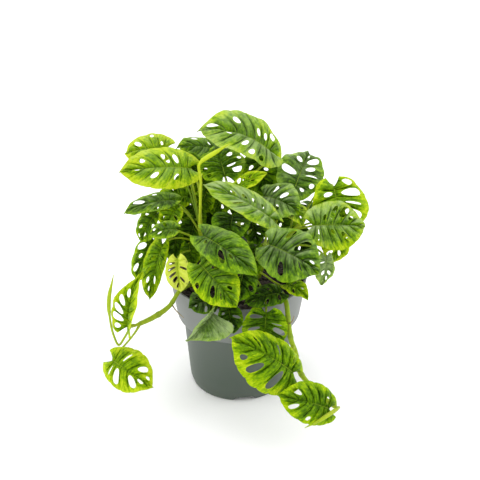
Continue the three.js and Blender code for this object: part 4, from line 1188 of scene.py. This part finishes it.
def yellow_leaf_skin():
    """An old leaf on the turn: pale yellow, greener by the midrib, brown and dead round its slits."""
    material, shade, place = start_material("leaf_on_the_turn")
    _, _, rim, _ = read_marks(shade)
    across = abs(read_flat(shade)[1])
    cloud = shade.noise(place, 90, 3)
    fine = shade.noise(place, 500, 3)
    greener = across.ease(0.45, 0.0) * 0.7 + (cloud - 0.5) * 1.1 - across.ease(0.03, 0.01) * 0.6
    blade_colour = greener.between(YELLOW_BLADE, YELLOW_GREEN)
    spots = cloud.ease(0.64, 0.7) * 0.5
    return finish_material(material, shade, {
        "Base Color": (rim.ease(0.05, 0.5) + spots).between(blade_colour, SLIT_BROWN),
        "Roughness": 0.5,
        "Normal": shade.bump(fine, 0.35, 0.3 * MM),
    }, YELLOW_GLOW)


def grown_leaf(leaf, seed, finish):
    """The skins of one leaf: its blade and its stalk."""
    points, faces, uv, marks = blade(leaf, seed)
    grown = {"points": points, "faces": faces, "material": finish, "uv": uv, "marks": marks}
    return [grown, stalk(leaf)]


green_leaf = leaf_skin()
old_leaf = yellow_leaf_skin()
for order, (name, leaf) in enumerate(LEAVES.items()):
    skins = grown_leaf(leaf, order + 1, old_leaf if name == "leaf_yellow" else green_leaf)
    if leaf["stem"] in leafy_shoots:
        leafy_shoots[leaf["stem"]] = skins + leafy_shoots[leaf["stem"]]
        continue
    piece = add_piece(name + "_grown", skins, crease=60)
    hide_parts(name)
    "yellow_leaf" if name == "leaf_yellow" else "leaf"
for name, skins in leafy_shoots.items():
    piece = add_piece(name + "_grown", skins, crease=60)
    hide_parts(name)

# --- Deep leaves ----------------------------------------------------------------------------------
# Small dark leaves that grow deep between the shoots and close the gaps there. Most are given a low
# tone, painted shade for where they stand. They are like the other leaves, each in one piece with its
# stalk, which leaves a stem.
FIRST_DEEP_SEED = 70
DEEP_LEAVES = {
    "leaf_deep_right": dict(
        SMALL, stem="stem_right", at=0.5, base=(48, 40, 222), tip=(62, 28, 186), face=(0, -0.8, 0.6),
        width=40, youth_and_light=0.5, holes=("..s.m.", ".m.s.."),
    ),
    "leaf_deep_low_right": dict(
        SMALL, stem="stem_right", at=0.4, base=(72, 26, 198), tip=(84, 14, 160), face=(0, -0.8, 0.6),
        width=34, youth_and_light=0.1, holes=("..s...", "...s.."),
    ),
    "leaf_deep_crown": dict(
        SMALL, stem="stem_crown", at=0.7, base=(22, 64, 278), tip=(36, 48, 232), face=(0.1, -0.8, 0.6),
        width=46, youth_and_light=0.4, holes=("..s...", ".m.s.."),
    ),
    "leaf_deep_left": dict(
        SMALL, stem="shoot_inner_right", at=0.85, base=(-46, 54, 224), tip=(-34, 42, 188),
        face=(0, -0.8, 0.6), width=36, youth_and_light=0.1, holes=("..s...", "..s..."),
    ),
    "leaf_deep_high": dict(
        SMALL, stem="shoot_inner_right", at=0.95, base=(-46, 52, 262), tip=(-34, 42, 232),
        face=(0, -0.8, 0.6), width=34, youth_and_light=0.6, holes=("...s..", "..s..."),
    ),
    "leaf_deep_outer": dict(
        SMALL, stem="stem_left", at=0.95, base=(-66, 50, 258), tip=(-56, 42, 226), face=(0, -0.8, 0.6),
        width=36, youth_and_light=0.15, holes=("..s...", "...s.."),
    ),
    "leaf_deep_near": dict(
        SMALL, stem="shoot_inner_left", at=0.8, base=(-52, 2, 226), tip=(-62, -6, 196), face=(0, -0.8, 0.6),
        width=32, holes=("..s...", "...s.."),
    ),
    "leaf_deep_low_left": dict(
        SMALL, stem="stem_left", at=0.6, base=(-60, -18, 205), tip=(-56, -30, 180), face=(0.1, -0.8, 0.6),
        width=26, youth_and_light=0.5, holes=("......", "..s..."),
    ),
    "leaf_deep_edge": dict(
        SMALL, stem="stem_left", at=0.68, base=(-76, -10, 212), tip=(-76, -22, 176), face=(0, -0.8, 0.6),
        width=24, youth_and_light=0.3, holes=("......", "..s..."),
    ),
    "leaf_deep_upper": dict(
        SMALL, stem="stem_left", at=0.97, base=(-62, 50, 286), tip=(-48, 42, 260), face=(0, -0.8, 0.6),
        width=28, holes=("......", "...s.."),
    ),
}
for order, (name, leaf) in enumerate(DEEP_LEAVES.items()):
    piece = add_piece(name, grown_leaf(leaf, order + FIRST_DEEP_SEED, green_leaf), crease=60)

# --- Rolled young leaves --------------------------------------------------------------------------
# Three leaves are still wound up like a scroll, pale and smooth, each on the end of its own stalk.
# The outer edge of the blade shows as a seam that winds round the spindle.
ROLLED_SIDES = 20
ROLLED_RINGS = 110
# radius, stalk: the spindle's and the stalk's radius in mm; thick: the share of the length where the
# spindle starts; yellow: how yellow it is; points: the middle line in mm, from the stem to the tip
ROLLED_LEAVES = {
    "rolled_leaf_top": dict(
        radius=2.9, thick=0.68, yellow=0.95, stalk=1.7,
        points=[
            (-47, -8, 222), (-46, -8, 250), (-45, -8, 290), (-47, -8, 308), (-44, -8, 314), (-28, -8, 326),
            (-10, -8, 339),
        ],
    ),
    "rolled_leaf_left": dict(
        radius=2.6, thick=0.6, yellow=0.6, stalk=1.4,
        points=[
            (-131, -70, 119), (-138, -74, 107), (-145, -77, 98), (-150, -78, 110), (-154, -84, 142),
            (-154, -82, 169), (-148, -76, 199),
        ],
    ),
    "rolled_leaf_right": dict(
        radius=2.7, thick=0.33, yellow=0.6, stalk=1.3,
        points=[(118, -132, 45), (120, -147, 56), (111, -162, 60), (96, -172, 56), (78, -175, 47)],
    ),
}


def rolled_leaf(leaf):
    """Radius along s: the stalk's up to thick, then 0.35 + (radius - 0.35) sin(pi (0.28 + 0.72 w)) mm,
    w being the way from there to the tip. There it also goes by 1 + 0.22 (r - 0.7), r being the way
    round from the seam, which winds 1.1 turns over the whole length."""
    path = spline(np.array(leaf["points"]) * MM, ROLLED_RINGS)
    s = np.linspace(0, 1, ROLLED_RINGS)
    w = np.clip((s - leaf["thick"]) / (1 - leaf["thick"]), 0, 1)
    spindle = 0.35 + (leaf["radius"] - 0.35) * np.sin(np.pi * np.minimum(1, 0.28 + 0.72 * w))
    blend = np.clip((s - leaf["thick"]) / 0.05 + 0.5, 0, 1)
    radius = ((leaf["stalk"] * (1 - blend) + spindle * blend) * MM)[:, None]
    q = np.arange(ROLLED_SIDES) / ROLLED_SIDES
    round_from_seam = (q + 1.1 * s[:, None]) % 1
    radius = radius * (1 + 0.22 * (round_from_seam - 0.7) * blend[:, None])
    points, faces = tube(path, radius, ROLLED_SIDES)
    seam = blend[:, None] * np.exp(-((np.minimum(round_from_seam, 1 - round_from_seam) / 0.05) ** 2))
    marks = np.stack([leaf["yellow"] + 0 * seam, 0.3 * seam, 0 * seam, 1 + 0 * seam], -1).reshape(-1, 4)
    ends = [[leaf["yellow"], 0.3, 0, 1]] * 2
    marks = np.vstack([marks, ends])
    return {"points": points, "faces": faces, "material": skin_of_shoots, "marks": marks}


for name, leaf in ROLLED_LEAVES.items():
    piece = add_piece(name + "_grown", [rolled_leaf(leaf)], crease=50)
    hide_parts(name)
